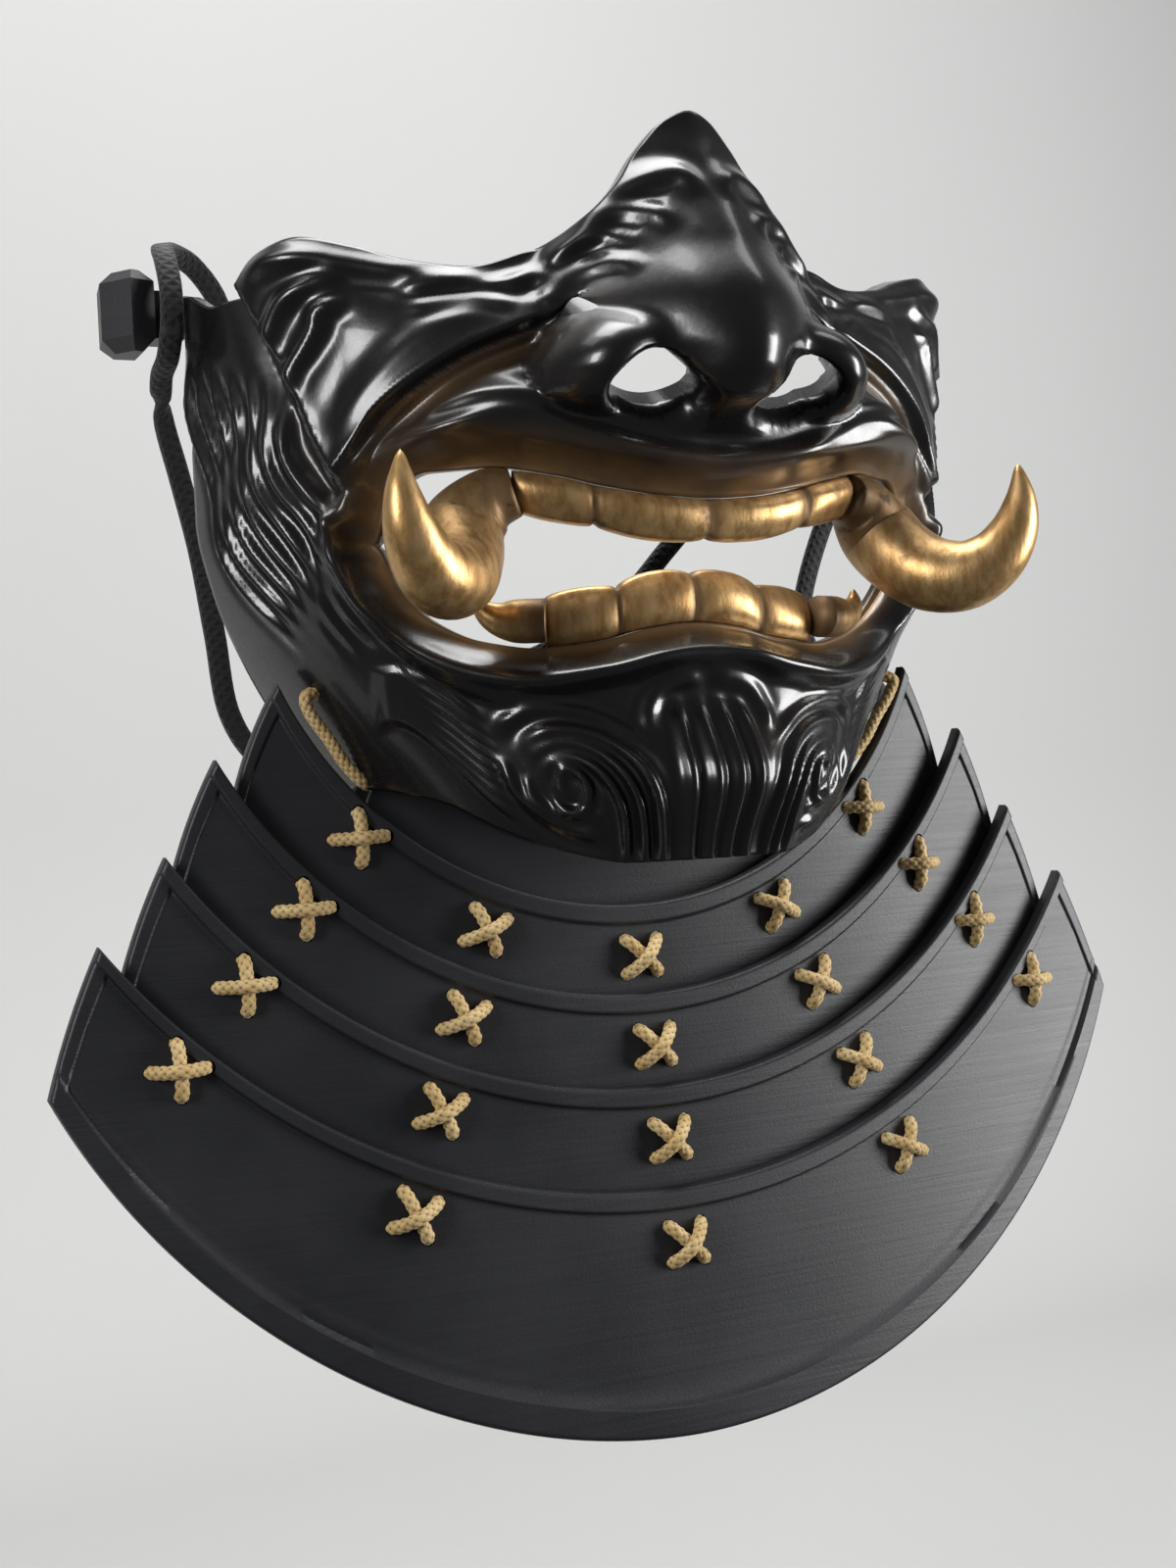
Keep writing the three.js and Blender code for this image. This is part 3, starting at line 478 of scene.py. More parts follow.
def slide_to_rim(spots, side):
    """Moves the sheet's points next to a nostril onto its rim, by a few Newton steps."""
    for _ in range(6):
        on = skin(spots, relief(*spots.T))
        value = at_nostril(on, side)
        rim = np.nonzero(rim_points[side])[0]
        step = []
        for change in ((0.05, 0), (0, 0.05)):
            near = spots[rim] + change
            step.append((at_nostril(skin(near, relief(*near.T)), side) - value[rim]) / 0.05)
        slope = np.stack(step, 1)
        size = np.maximum((slope**2).sum(1), 1e-4)
        spots[rim] += np.clip(((1 - value[rim]) / size)[:, None] * slope, -0.5, 0.5)
    return spots


first_skin = skin(spots, relief(*spots.T))
rim_points = {}
for side in SIDES:
    hole = (at_nostril(first_skin[faces].mean(1), side) < 1)
    gone = np.zeros(len(spots), dtype=bool)
    gone[faces[hole]] = True
    kept = np.zeros(len(spots), dtype=bool)
    kept[faces[~hole]] = True
    rim_points[side] = gone & kept
    faces = faces[~hole]
    spots = slide_to_rim(spots, side)
    print("nostril", side, int(rim_points[side].sum()), "points on its rim")

# %% [markdown]
# ## Carving
# The shell is carved all over: folds on the cheeks, wrinkles on the nose, locks of hair at the
# sides, and scrolls on the chin. Each is a stroke, a line drawn on the shell with a rounded ridge
# along it and a thin groove on both sides, as a gouge leaves it. Locks come in families, whose
# lines run evenly from one guide line to another. All of it is the same on the left and the right.

# %% Strokes
STROKES = [  # name, how wide and tall in millimetres, then the line as angle and height
    ("upper cheek fold", 2.2, 1.6, [(62, 101), (59, 104.5), (55, 106.5), (50, 106.5), (45, 105), (40, 103.3),
                                    (34, 101.5), (28, 101), (23, 102.5)]),
    ("middle cheek fold", 1.7, 1.5, [(58.6, 88), (57.3, 93), (54, 98), (49.5, 100.8), (44.5, 102.3)]),
    ("cheek lobe", 1.8, 1.6, [(56, 79), (55, 84.5), (52.6, 88.5), (50.6, 92), (49.2, 95.6), (45, 98)]),
    ("plate bevel", 2.6, 0.75, [(51, 66.5), (46.5, 76), (41, 84), (35, 90), (28, 94), (22, 95.5)]),
    ("plate side", 2.2, 0.5, [(58.5, 87), (57, 80), (54.8, 73), (52.3, 67.5)]),
    ("upper side fold", 1.7, 1.3, [(40, 97.5), (35, 98.8), (31, 99), (27, 98.4), (23, 99.5), (19.5, 103)]),
    ("lower side fold", 1.4, 0.9, [(39, 93.5), (36, 95), (32, 95.9), (28, 95.6), (23.5, 93.5)]),
    ("bridge wrinkle 1", 2.2, 1.6, [(16.5, 107), (12.8, 113), (9, 117), (5.5, 118.6), (3, 117.4), (2.2, 112)]),
    ("bridge wrinkle 2", 2.0, 1.6, [(19.5, 101), (16, 107), (12.4, 110.4), (9, 111), (7, 109), (6.6, 105)]),
    ("bridge wrinkle 3", 1.9, 1.5, [(22, 96.5), (18.6, 102.6), (15.2, 106), (12.2, 106), (10.8, 102.6)]),
    ("bridge wrinkle 4", 1.8, 1.3, [(21.8, 91.5), (18.8, 97.5), (15.6, 100.8), (12.6, 100.4), (10.8, 97)]),
    ("muzzle fold", 2.2, 1.4, [(46.5, 57), (43.5, 63), (38.5, 67.6), (33, 70.6), (28, 72.3), (23, 71.6), (18, 69),
                               (14, 66), (10, 64.3), (5, 63.4)]),
    ("muzzle line", 1.4, 0.8, [(41.5, 69.5), (36, 73.8), (30, 76.3), (25, 76), (20, 73.8), (16.5, 70.6)]),
    ("lip line", 1.1, 0.5, [(43, 61.5), (37, 65), (31, 67), (25, 67.4), (19, 65.5), (13, 62.6)]),
    ("lower lip fold", 2.0, 1.2, [(47, 33), (42.5, 26.5), (36.5, 22), (28, 20.6), (20, 21.8), (11, 24.2),
                                  (4, 26.6), (0, 27.4)]),
    ("lower lip line", 1.2, 0.7, [(46, 28.6), (41, 22.8), (34, 18.2), (27, 16.8)]),
    ("chin brow", 1.7, 1.0, [(0, 20.2), (4.5, 20.2), (8.4, 18.2), (10.8, 14), (11.4, 9)]),
    ("inner flute", 1.8, 1.4, [(1.7, 19), (2.1, 11), (2.2, 2), (2.2, -9), (2.2, -22)]),
    ("outer flute", 1.7, 1.4, [(4.6, 18.4), (6.0, 11), (6.6, 2), (6.6, -9), (6.6, -22)]),
    ("scroll arm 1", 1.5, 1.8, [(34, 5), (31, 9.8), (26, 11.6), (20, 9.8), (15.4, 5), (13, -2), (12.4, -11),
                                (12.6, -22)]),
    ("scroll arm 2", 1.3, 1.7, [(33, 2.8), (30.6, 7), (26, 8.7), (21.2, 7), (17.8, 2.6), (16, -3.4),
                                (15.8, -11), (16.4, -20)]),
    ("scroll arm 3", 1.2, 1.6, [(31.6, 0.6), (29.8, 4.5), (26.3, 6), (22.8, 4.5), (20.4, 0.6), (19.2, -4.6),
                                (19.4, -11), (20.4, -18)]),
    ("scroll crown", 1.3, 1.1, [(37, 10), (33.4, 14), (27, 15.8), (20, 13.8), (15, 10), (11.4, 6)]),
    ("scroll foot 1", 1.4, 1.5, [(37, 8), (36.8, 0), (33.2, -5.8), (27.6, -8.8), (22, -10)]),
    ("scroll foot 2", 1.2, 1.3, [(34.6, 4), (34.2, -1.6), (30.8, -5), (26.8, -6.2), (22.4, -6.2)]),
]
FAMILIES = [  # name, number of lines, how wide and tall, wave in degrees, then the two guide lines
    ("locks", 7, 1.6, 2.1, 1.3,
     [(80, 97), (79, 86), (78, 76), (76, 68), (74, 60), (72, 51), (69, 43), (65.5, 35), (62, 27)],
     [(60.5, 84), (58.5, 74), (57, 66), (55.5, 60), (53.5, 55), (51.5, 48), (49, 41), (46.8, 34), (45, 29)]),
    ("jaw lines", 8, 0.85, 0.8, 0.0,
     [(53, 25), (47, 24.5), (42.5, 21.5), (39.5, 17.5), (37.4, 13.5)],
     [(57, 13), (52, 15.5), (48, 12), (45, 5), (42, -1), (37.5, -7)]),
]
GROOVE = 0.22  # depth of the groove beside a ridge, as a share of its height
RUN_OUT = 0.2  # share of a line over which its ridge runs out at each end
SCROLL_EYE = {"angle": 27.2, "z": 0.4, "from": 0.9, "to": 6.4, "turns": 1.3, "wide": 1.1, "tall": 1.6}


def scroll_eye():
    """Spiral in the middle of a scroll, whose radius grows evenly with its turn."""
    share = np.linspace(0, 1, 26)
    turn = 2 * np.pi * SCROLL_EYE["turns"] * (share - 1)
    radius = SCROLL_EYE["from"] + (SCROLL_EYE["to"] - SCROLL_EYE["from"]) * share
    return np.stack([SCROLL_EYE["angle"] + radius * np.cos(turn) / MM_PER_DEGREE,
                     SCROLL_EYE["z"] + radius * np.sin(turn)], 1)


def carved_lines():
    """Every line of the carving, as its width, its height and its places on the shell."""
    lines = [(wide, tall, spline(on_shell(line), 5 * len(line))) for _, wide, tall, line in STROKES]
    for _, count, wide, tall, wave, first, last in FAMILIES:
        guides = [spline(on_shell(guide), 44) for guide in (first, last)]
        run = np.linspace(0, 1, 44)
        for number, share in enumerate(np.linspace(0, 1, count)):
            line = guides[0] * (1 - share) + guides[1] * share
            line[:, 0] += wave * MM_PER_DEGREE * np.sin(2 * np.pi * (1.9 * run + 0.13 * number))
            lines.append((wide, tall, line))
    lines.append((SCROLL_EYE["wide"], SCROLL_EYE["tall"], scroll_eye() * (MM_PER_DEGREE, 1)))
    return lines


CARVED = carved_lines()


def carving(degrees, z):
    """Height of the carving: the sum of its strokes, each run out to nothing at both ends."""
    s = np.abs(degrees) * MM_PER_DEGREE
    height = np.zeros(len(s))
    for wide, tall, line in CARVED:
        low, high = line.min(0) - 4 * wide, line.max(0) + 4 * wide
        near = np.nonzero((s > low[0]) & (s < high[0]) & (z > low[1]) & (z < high[1]))[0]
        away, along = distance_to(line, s[near], z[near])
        profile = bell(away / wide) - GROOVE * bell((away - 2 * wide) / (0.8 * wide))
        height[near] += tall * profile * smooth(along / RUN_OUT) * smooth((1 - along) / RUN_OUT)
    return height


print(len(CARVED), "strokes,", sum(len(line) for _, _, line in CARVED), "points")


# %% The wall
def roll_in(outer, inner, side):
    """Rounds the skin into a nostril, and brings the inner skin to the same rim."""
    along = nostril_axes(side)[2]
    value = np.maximum(1, at_nostril(outer, side))
    near = np.clip(1 - (value - 1) / NOSTRIL_ROLL["reach"], 0, 1)
    drop = NOSTRIL_ROLL["deep"] * (1 - np.sqrt(1 - near**2))
    outer = outer + drop[:, None] * along
    share = smooth((value - 1) / 0.9)[:, None]
    return outer, (outer + NOSTRIL_ROLL["wall"] * along) * (1 - share) + inner * share


def wall(faces, outer, inner):
    """Faces of a closed wall between two skins, with a strip along every open edge."""
    count = len(outer)
    start, end = faces.ravel(), np.roll(faces, -1, 1).ravel()
    real = start != end
    start, end = start[real], end[real]
    open_edge = ~np.isin(start * count + end, end * count + start)
    a, b = start[open_edge], end[open_edge]
    strip = np.stack([b, a, a + count, b + count], 1)
    return np.concatenate([faces, faces[:, ::-1] + count, strip])


carved = relief(*spots.T) + carving(*spots.T)
outer = skin(spots, carved)
inner = skin(spots, relief(*spots.T), WALL)
for side in SIDES:
    outer, inner = roll_in(outer, inner, side)
shell = add_mesh("face_shell", np.concatenate([outer, inner]), wall(faces, outer, inner))
if signed_volume(shell) < 0:
    shell.data.flip_normals()
print("shell:", len(shell.data.polygons), "faces,", round(signed_volume(shell) * 1e6, 1), "cm3")

# %% [markdown]
# ## Teeth
# Each row of teeth is one casting with shallow joints. A tooth is a section carried round the same
# ellipse as the gum: full in the middle of the tooth, and lower and thinner towards each joint.
# The power of the sine sets how square a tooth looks. A small one gives flat faces and thin joints.

# %% Teeth
UPPER_TEETH = {"joints": (-27.5, -16.5, 0, 16.5, 27.5), "height": 8.6, "deep": 6, "proud": 1.7}
LOWER_TEETH = {"joints": (-24.5, -12.5, 0, 12.5, 24.5), "height": 11, "deep": 6, "proud": 1.7}
TOOTH_SECTION = [(0, 0.25), (0.12, 0.1), (0.3, 0.02), (0.55, 0), (0.78, 0.02), (0.93, 0.1), (1.0, 0.28),
                 (1.0, 0.68), (0.8, 0.9), (0.5, 1), (0.25, 1), (0, 1)]
GAP = 0.3


def tooth_row(row, gum, up):
    """Rings of a row: height and fullness follow the sine of the way across each tooth."""
    joints = np.array(row["joints"], dtype=float)
    steps = np.linspace(0, 1, 22, endpoint=False)
    degrees = np.concatenate([a + (b - a) * steps for a, b in zip(joints[:-1], joints[1:])] + [joints[-1:]])
    share = np.concatenate([np.tile(steps, len(joints) - 1), [1.0]])
    belly = np.sin(np.pi * np.clip(share, 0.001, 0.999)) ** 0.4
    height = row["height"] * (0.82 + 0.18 * belly)
    base = gum(np.abs(degrees)) - up * GAP
    tall, deep = spline(TOOTH_SECTION, 40, closed=True).T
    swell = np.sin(np.pi * np.clip(tall + 0.15, 0, 1))
    z = base[:, None] - up * tall * height[:, None]
    depth = LIP["drop"] - row["proud"] * belly[:, None] * swell + deep * row["deep"]
    reach = BACK_Y - front_y(base)[:, None] - depth
    turn = np.radians(degrees)[:, None]
    return np.stack([(half_width(base)[:, None] - depth) * np.sin(turn), BACK_Y - reach * np.cos(turn), z], -1)


upper_teeth = add_tube("teeth_upper", tooth_row(UPPER_TEETH, upper_gum, 1))
lower_teeth = add_tube("teeth_lower", tooth_row(LOWER_TEETH, lower_gum, -1))
print("teeth:", len(upper_teeth.data.polygons) + len(lower_teeth.data.polygons), "faces")

# %% [markdown]
# ## Tusks and fangs
# A tusk is a round section that swells and then runs out to a point, carried along a curve through
# eight places. Carrying the section from ring to ring, each turned as little as the curve needs,
# keeps its sides from twisting, which a section aimed at a fixed direction would do on the hook.

# %% Horns
TUSK = [(37.4, -30.2, 58.0, 4.8), (42.2, -27.8, 56.4, 6.6), (47.2, -26.4, 51.2, 8.3), (49.5, -31, 45.5, 8.2), (53, -37, 41, 7.9),
        (58, -42.5, 40, 7.3), (62.8, -46.5, 43, 6.3), (66, -49, 48.5, 5), (67.4, -50, 55, 3.2),
        (67.3, -49.8, 62.3, 0.5)]
FANG = [(31.2, -27.6, 33.2, 4.4), (36.5, -25, 33.4, 4.3), (40.2, -23.8, 34.2, 3.2), (42.6, -22.8, 36.4, 2), (43, -22.5, 39.4, 0.4)]


def frames(path):
    """Tangent and two side directions at each point; the sides turn only as much as the path does."""
    along = np.gradient(path, axis=0)
    along /= np.linalg.norm(along, axis=1)[:, None]
    side = np.empty_like(path)
    pick = np.eye(3)[np.argmin(np.abs(along[0]))]
    for i, t in enumerate(along):
        pick = pick - t * (pick @ t)
        pick = pick / np.linalg.norm(pick)
        side[i] = pick
    return along, side, np.cross(along, side)


def round_rings(path, radius, sides):
    """Rings round a path. The radius is one number, one for each ring, or one for each point."""
    _, side, other = frames(path)
    turn = np.linspace(0, 2 * np.pi, sides, endpoint=False)
    size = np.asarray(radius, dtype=float)
    size = np.broadcast_to(size[:, None] if size.ndim == 1 else size, (len(path), sides))
    across = side[:, None] * np.cos(turn)[None, :, None] + other[:, None] * np.sin(turn)[None, :, None]
    return path[:, None] + size[..., None] * across


def horn(name, rows, side, sides=36):
    way = spline(rows, 90) * (side, 1, 1, 1)
    tip = np.linspace(0, 1, len(way))
    radius = way[:, 3] * np.sqrt(np.clip((1 - tip) * 60, 0.02, 1))
    return add_tube(name, round_rings(way[:, :3], radius, sides))


tusks = {side: horn(f"tusk_{'left' if side < 0 else 'right'}_gilt", TUSK, side) for side in SIDES}
fangs = {side: horn(f"fang_{'left' if side < 0 else 'right'}_gilt", FANG, side, 24) for side in SIDES}
print("tusk:", len(tusks[1].data.polygons), "faces")

# %% [markdown]
# ## Throat plates
# Each plate is a piece of a ring round one centre, seen from the front. Seen from above it bows
# back towards its ends. Its front has a raised rim along the top and, more faintly, along the
# ends, and the lowest plate has one along its bottom too. The rims are heights added to the sheet,
# worked out from each point's distance to the edges in millimetres.

# %% Plate tables
ARC_Z, PLATE_THICK, BOW = 56.0, 2.6, 0.0013
RIM = {"tall": 3.8, "proud": 1.1, "end_tall": 3.4, "end_proud": 0.45, "round": 1.0}
END_LEAN, END_LENGTH, END_BEND = 21.0, 31.0, 1.8
PLATES = [
    {"name": "collar", "top": 66.5, "bottom": 97, "end": 53, "y": 7, "slope": 0},
    {"name": "throat_plate_1", "top": 82, "bottom": 121, "end": 67.4, "y": 2.4, "slope": 0},
    {"name": "throat_plate_2", "top": 101, "bottom": 141, "end": 62.5, "y": -2.2, "slope": 0.03},
    {"name": "throat_plate_3", "top": 120.5, "bottom": 160, "end": 57, "y": -7, "slope": 0.06},
    {"name": "throat_plate_4", "top": 141.5, "bottom": 191.2, "end": 54.4, "y": -12.5, "slope": 0.15},
]
LACE = {"radius": 1.35, "half": 3.8, "hole": 1.45, "below": 11.3, "climb": 5, "tail": 3, "rest": 1.6, "lifted": 3.7}
LACE_ANGLES = (-43.5, -22.5, 0, 22.5, 43.5)


def plate_y(plate, radius, x):
    """The front face lies further back by the square of x, and leans by the plate's slope."""
    return plate["y"] + BOW * x * x - plate["slope"] * (radius - plate["top"] - LACE["below"])


def plate_sheet(plate, across, down):
    """Angle and radius of a point; the end edge leans outwards, so it lies further round below."""
    turn, lean = math.radians(plate["end"]), math.radians(END_LEAN)
    x = plate["top"] * math.sin(turn) + END_LENGTH * math.sin(lean)
    z = plate["top"] * math.cos(turn) + END_LENGTH * math.cos(lean)
    at_end = plate["top"] + (math.hypot(x, z) - plate["top"]) * down
    degrees = plate["end"] + (math.degrees(math.atan2(x, z)) - plate["end"]) * down
    middle = plate["top"] + (plate["bottom"] - plate["top"]) * down
    radius = middle + (at_end - middle) * np.abs(across) ** END_BEND
    return degrees * across, radius


def on_plate(plate, degrees, radius, depth):
    turn = np.radians(degrees)
    x = radius * np.sin(turn)
    return np.stack([x, plate_y(plate, radius, x) + depth, ARC_Z - radius * np.cos(turn)], -1)


# %% Rims
def rim(away, tall, proud):
    """Flat-topped ridge along an edge, with a thin groove where it meets the plate."""
    return proud * (1 - smooth((away - tall) / 0.9)) - 0.3 * proud * bell((away - tall - 1.0) / 0.45)


def rounded(away, radius):
    """How far a rounded edge falls back: a quarter circle over the last stretch to the edge."""
    near = np.clip(1 - away / radius, 0, 1)
    return radius * (1 - np.sqrt(1 - near**2))


def packed(length, edge, fine, coarse):
    """Places from 0 to length, closely spaced near both ends."""
    start = np.arange(0, edge, fine)
    middle = np.linspace(edge, length - edge, max(2, int((length - 2 * edge) / coarse)))
    return np.concatenate([start, middle, length - start[::-1]])


def plate_skins(plate):
    """Front and back sheet of a plate, in rows from the top edge down."""
    tall = plate["bottom"] - plate["top"]
    half = math.radians(plate["end"]) * (plate["top"] + 0.5 * tall)
    down = (packed(tall, 6.5, 0.34, 1.5) / tall)[:, None]
    across = (packed(2 * half, 5.5, 0.4, 1.7) / half - 1)[None, :]
    degrees, radius = plate_sheet(plate, across, down)
    to_end = (1 - np.abs(across)) * np.radians(plate["end"]) * radius
    to_top = down * tall + 0 * across
    to_bottom = (1 - down) * tall * (1 - 0.3 * np.abs(across)) + 0 * across
    raised = np.maximum(rim(to_top, RIM["tall"], RIM["proud"]), rim(to_end, RIM["end_tall"], RIM["end_proud"]))
    if plate is PLATES[-1]:
        raised = np.maximum(raised, rim(to_bottom, 1.6 * RIM["tall"], RIM["proud"]))
        raised += 0.35 * bell((to_bottom - 1.6 * RIM["tall"] - 2.2) / 0.7)
    fall = np.maximum.reduce([rounded(away, RIM["round"]) for away in (to_top, to_end, to_bottom)])
    return on_plate(plate, degrees, radius, fall - raised), on_plate(plate, degrees, radius, PLATE_THICK)


# %% [markdown]
# ## Holes for the lacing
# A cord passes through four holes round each crossing, and the two upper ones go through the plate
# behind as well. A boolean cut with the exact solver is the plain way to drill a finished sheet.
# The drills of one plate are joined in one mesh first, so that each plate is cut only once.

# %% Drills
def lace_place(plate, degrees):
    """Middle of a crossing: at a set distance below the plate's top edge, a little less at its ends."""
    radius = plate["top"] + LACE["below"] - LACE["climb"] * (degrees / LACE_ANGLES[-1]) ** 2
    turn = math.radians(degrees)
    return turn, radius * math.sin(turn), ARC_Z - radius * math.cos(turn)


def beside(plate, degrees, steps):
    """Points beside a crossing: across and down in half widths of it, and depth in millimetres."""
    turn, x0, z0 = lace_place(plate, degrees)
    across, down, depth = np.array(steps, dtype=float).T * ((LACE["half"],), (LACE["half"],), (1,))
    x = x0 + across * math.cos(turn) + down * math.sin(turn)
    z = z0 + across * math.sin(turn) - down * math.cos(turn)
    return np.stack([x, plate_y(plate, np.hypot(x, ARC_Z - z), x) + depth, z], 1)


def drill_rings(at, sides=22):
    turn = np.linspace(0, 2 * np.pi, sides, endpoint=False)
    ring = np.stack([LACE["hole"] * np.cos(turn), 0 * turn, LACE["hole"] * np.sin(turn)], 1)
    return np.stack([at + ring + (0, y, 0) for y in (-7, 7)])


def add_tubes(name, tubes):
    """Several closed tubes as one mesh object."""
    parts = [add_tube(f"{name}_part", rings) for rings in tubes]
    points = np.concatenate([np.array([v.co for v in part.data.vertices]) for part in parts]) / MM
    starts = np.cumsum([0] + [len(part.data.vertices) for part in parts])
    corners = [[np.array(p.vertices) + start for p in part.data.polygons] for part, start in zip(parts, starts)]
    quads = [c for part in corners for c in part if len(c) == 4]
    triangles = [c for part in corners for c in part if len(c) == 3]
    for part in parts:
        mesh = part.data
        bpy.data.objects.remove(part)
        bpy.data.meshes.remove(mesh)
    return add_mesh(name, points, quads, True, triangles)


def cut(obj, drills):
    """Cuts the drills out of a piece with an exact boolean, and keeps the result as its mesh."""
    modifier = obj.modifiers.new("drill", "BOOLEAN")
    modifier.object, modifier.operation, modifier.solver = drills, "DIFFERENCE", "EXACT"
    bpy.context.view_layer.update()
    done = bpy.data.meshes.new_from_object(obj.evaluated_get(bpy.context.evaluated_depsgraph_get()))
    obj.modifiers.clear()
    obj.data = done
    obj.data.set_sharp_from_angle(angle=math.radians(50))
    bpy.data.objects.remove(drills)


UPPER, ALL_FOUR = ((-1, -1), (1, -1)), ((-1, -1), (1, -1), (-1, 1), (1, 1))
throat = {}
for number, plate in enumerate(PLATES):
    front, back = plate_skins(plate)
    rows, across = front.shape[:2]
    sheet_faces = grid_quads(rows, across)
    front, back = front.reshape(-1, 3), back.reshape(-1, 3)
    piece = add_mesh(f"{plate['name']}_satin", np.concatenate([front, back]), wall(sheet_faces, front, back))
    if signed_volume(piece) < 0:
        piece.data.flip_normals()
    own = [(plate, c) for c in ALL_FOUR] if number else []
    shared = [(PLATES[number + 1], c) for c in UPPER] if number < len(PLATES) - 1 else []
    holes = [beside(p, degrees, [(*corner, 0)])[0] for p, corner in own + shared for degrees in LACE_ANGLES]
    cut(piece, add_tubes("drills", [drill_rings(at) for at in holes]))
    throat[plate["name"]] = piece
    print(plate["name"], len(piece.data.polygons), "faces,", len(holes), "holes")

# %% [markdown]
# ## Lacing
# The cord is a round braid of eight strands, four each way. Its surface is a tube whose radius
# follows the braid: two families of slanted bands, and in every other diamond the first family
# lies on top. Making the strands as height on one tube costs a tenth of what real strands would.

# %% Braid
BRAID = {"strands": 4, "pitch": 1.75, "flat": 0.8, "sides": 32, "rings_per_mm": 4.6}


def braid_height(turn, run):
    """0 in the valleys to 1 on the strands, from the angle round the cord and the way along it."""
    first = BRAID["strands"] * turn / (2 * np.pi) + run / BRAID["pitch"]
    second = BRAID["strands"] * turn / (2 * np.pi) - run / BRAID["pitch"]
    over = np.where((np.floor(first) + np.floor(second)) % 2 == 0, 1, -1)
    lift = over * np.sin(np.pi * (first % 1)) * np.sin(np.pi * (second % 1))
    ridge_first = np.sqrt(np.maximum(0, 1 - (2 * (second % 1) - 1) ** 2))
    ridge_second = np.sqrt(np.maximum(0, 1 - (2 * (first % 1) - 1) ** 2))
    return np.clip(np.maximum(0.62 * ridge_first + 0.38 * lift, 0.62 * ridge_second - 0.38 * lift), 0, 1)


def braided(points, radius):
    """Rings of a braided cord along a spline, and the braid's height at each of their points."""
    rough = np.array(points, dtype=float)
    length = np.linalg.norm(np.diff(spline(rough, 60), axis=0), axis=1).sum()
    path = spline(rough, max(12, int(length * BRAID["rings_per_mm"])))
    turn = np.linspace(0, 2 * np.pi, BRAID["sides"], endpoint=False)[None, :]
    height = braid_height(turn, np.linspace(0, length, len(path))[:, None])
    return round_rings(path, radius * (0.84 + 0.3 * height), BRAID["sides"]), height


def add_cord(name, runs, radius):
    made = [braided(points, radius) for points in runs]
    obj = add_tubes(name, [rings for rings, _ in made])
    heights = np.concatenate([np.r_[height.ravel(), 0, 0] for _, height in made])
    paint(obj, "strand", heights)
    return obj


# %% Crossings
def back_of_inner(plate, inner, degrees):
    """Depth of a cord's middle on the back of the plate behind this one."""
    _, x, z = lace_place(plate, degrees)
    radius = math.hypot(x, ARC_Z - z) - LACE["half"]
    return plate_y(inner, radius, x) - plate_y(plate, radius, x) + PLATE_THICK + LACE["radius"] + 2 * GAP


def crossing(plate, inner, degrees):
    """Runs of the two strands of a crossing: the first lies flat, and the second climbs over it."""
    back = back_of_inner(plate, inner, degrees)
    lean = 1 if degrees > 0 else -1
    runs = []
    for side, middle, stitch in ((lean, 1.7, [(lean, -1, back)]),
                                 (-lean, LACE["lifted"], [(-lean, -1, back), (lean, -1, back + 0.2)])):
        steps = [(-side, 1, LACE["tail"]), (-0.98 * side, 0.98, 0.6), (-0.8 * side, 0.8, -1.3),
                 (-0.42 * side, 0.42, -0.5 * (middle + 1.9)), (0, 0, -middle),
                 (0.42 * side, -0.42, -0.5 * (middle + 1.9)), (0.8 * side, -0.8, -1.3),
                 (0.98 * side, -0.98, 0.6)]
        runs.append(beside(plate, degrees, steps + stitch))
    return runs


lacings = {}
for number, plate in enumerate(PLATES[1:], 1):
    for i, degrees in enumerate(LACE_ANGLES, 1):
        lacings[f"lace_{number}_{i}"] = add_cord(
            f"lacing_{number}_{i}", crossing(plate, PLATES[number - 1], degrees), 1.28)
COLLAR_LACE = [(62.5, 10.2, 22), (70.3, 6.9, 21.8), (70, 7.2, 18.2), (66.1, 7.5, 12.5), (62.9, 7.8, 7.5),
               (58.6, 8.8, 3.2), (55, 14.8, 3.2)]
for side in SIDES:
    name = "collar_lace_left" if side < 0 else "collar_lace_right"
    lacings[name] = add_cord(f"{name}_cord", [np.array(COLLAR_LACE) * (side, 1, 1)], 1.25)
print(len(lacings), "lacings,", sum(len(o.data.polygons) for o in lacings.values()), "faces")

# %% [markdown]
# ## Shader sums as Python sums
# A material's pattern is a formula, and a formula reads best as one. The small class below wraps
# a node's output, so that `1 - mask * 0.3` adds its Math nodes by itself. Colours are mixed by a
# node of their own, because a Math node would turn them grey.

# %% Node helpers
class Value:
    """One number of a material, as it varies over the surface."""

    def __init__(self, recipe, socket):
        self.recipe, self.socket = recipe, socket

    def __add__(self, other): return self.recipe.maths("ADD", self, other)
    def __radd__(self, other): return self.recipe.maths("ADD", other, self)
    def __sub__(self, other): return self.recipe.maths("SUBTRACT", self, other)
    def __rsub__(self, other): return self.recipe.maths("SUBTRACT", other, self)
    def __mul__(self, other): return self.recipe.maths("MULTIPLY", self, other)
    def __rmul__(self, other): return self.recipe.maths("MULTIPLY", other, self)
    def __truediv__(self, other): return self.recipe.maths("DIVIDE", self, other)
    def __pow__(self, other): return self.recipe.maths("POWER", self, other)

    def clamped(self):
        return self.recipe.maths("MINIMUM", self.recipe.maths("MAXIMUM", self, 0.0), 1.0)

    def between(self, low, high):
        """0 below low, 1 above high, and smooth from one to the other."""
        return self.recipe.node("ShaderNodeMapRange", {"interpolation_type": "SMOOTHSTEP"},
                                {0: self, 1: low, 2: high})


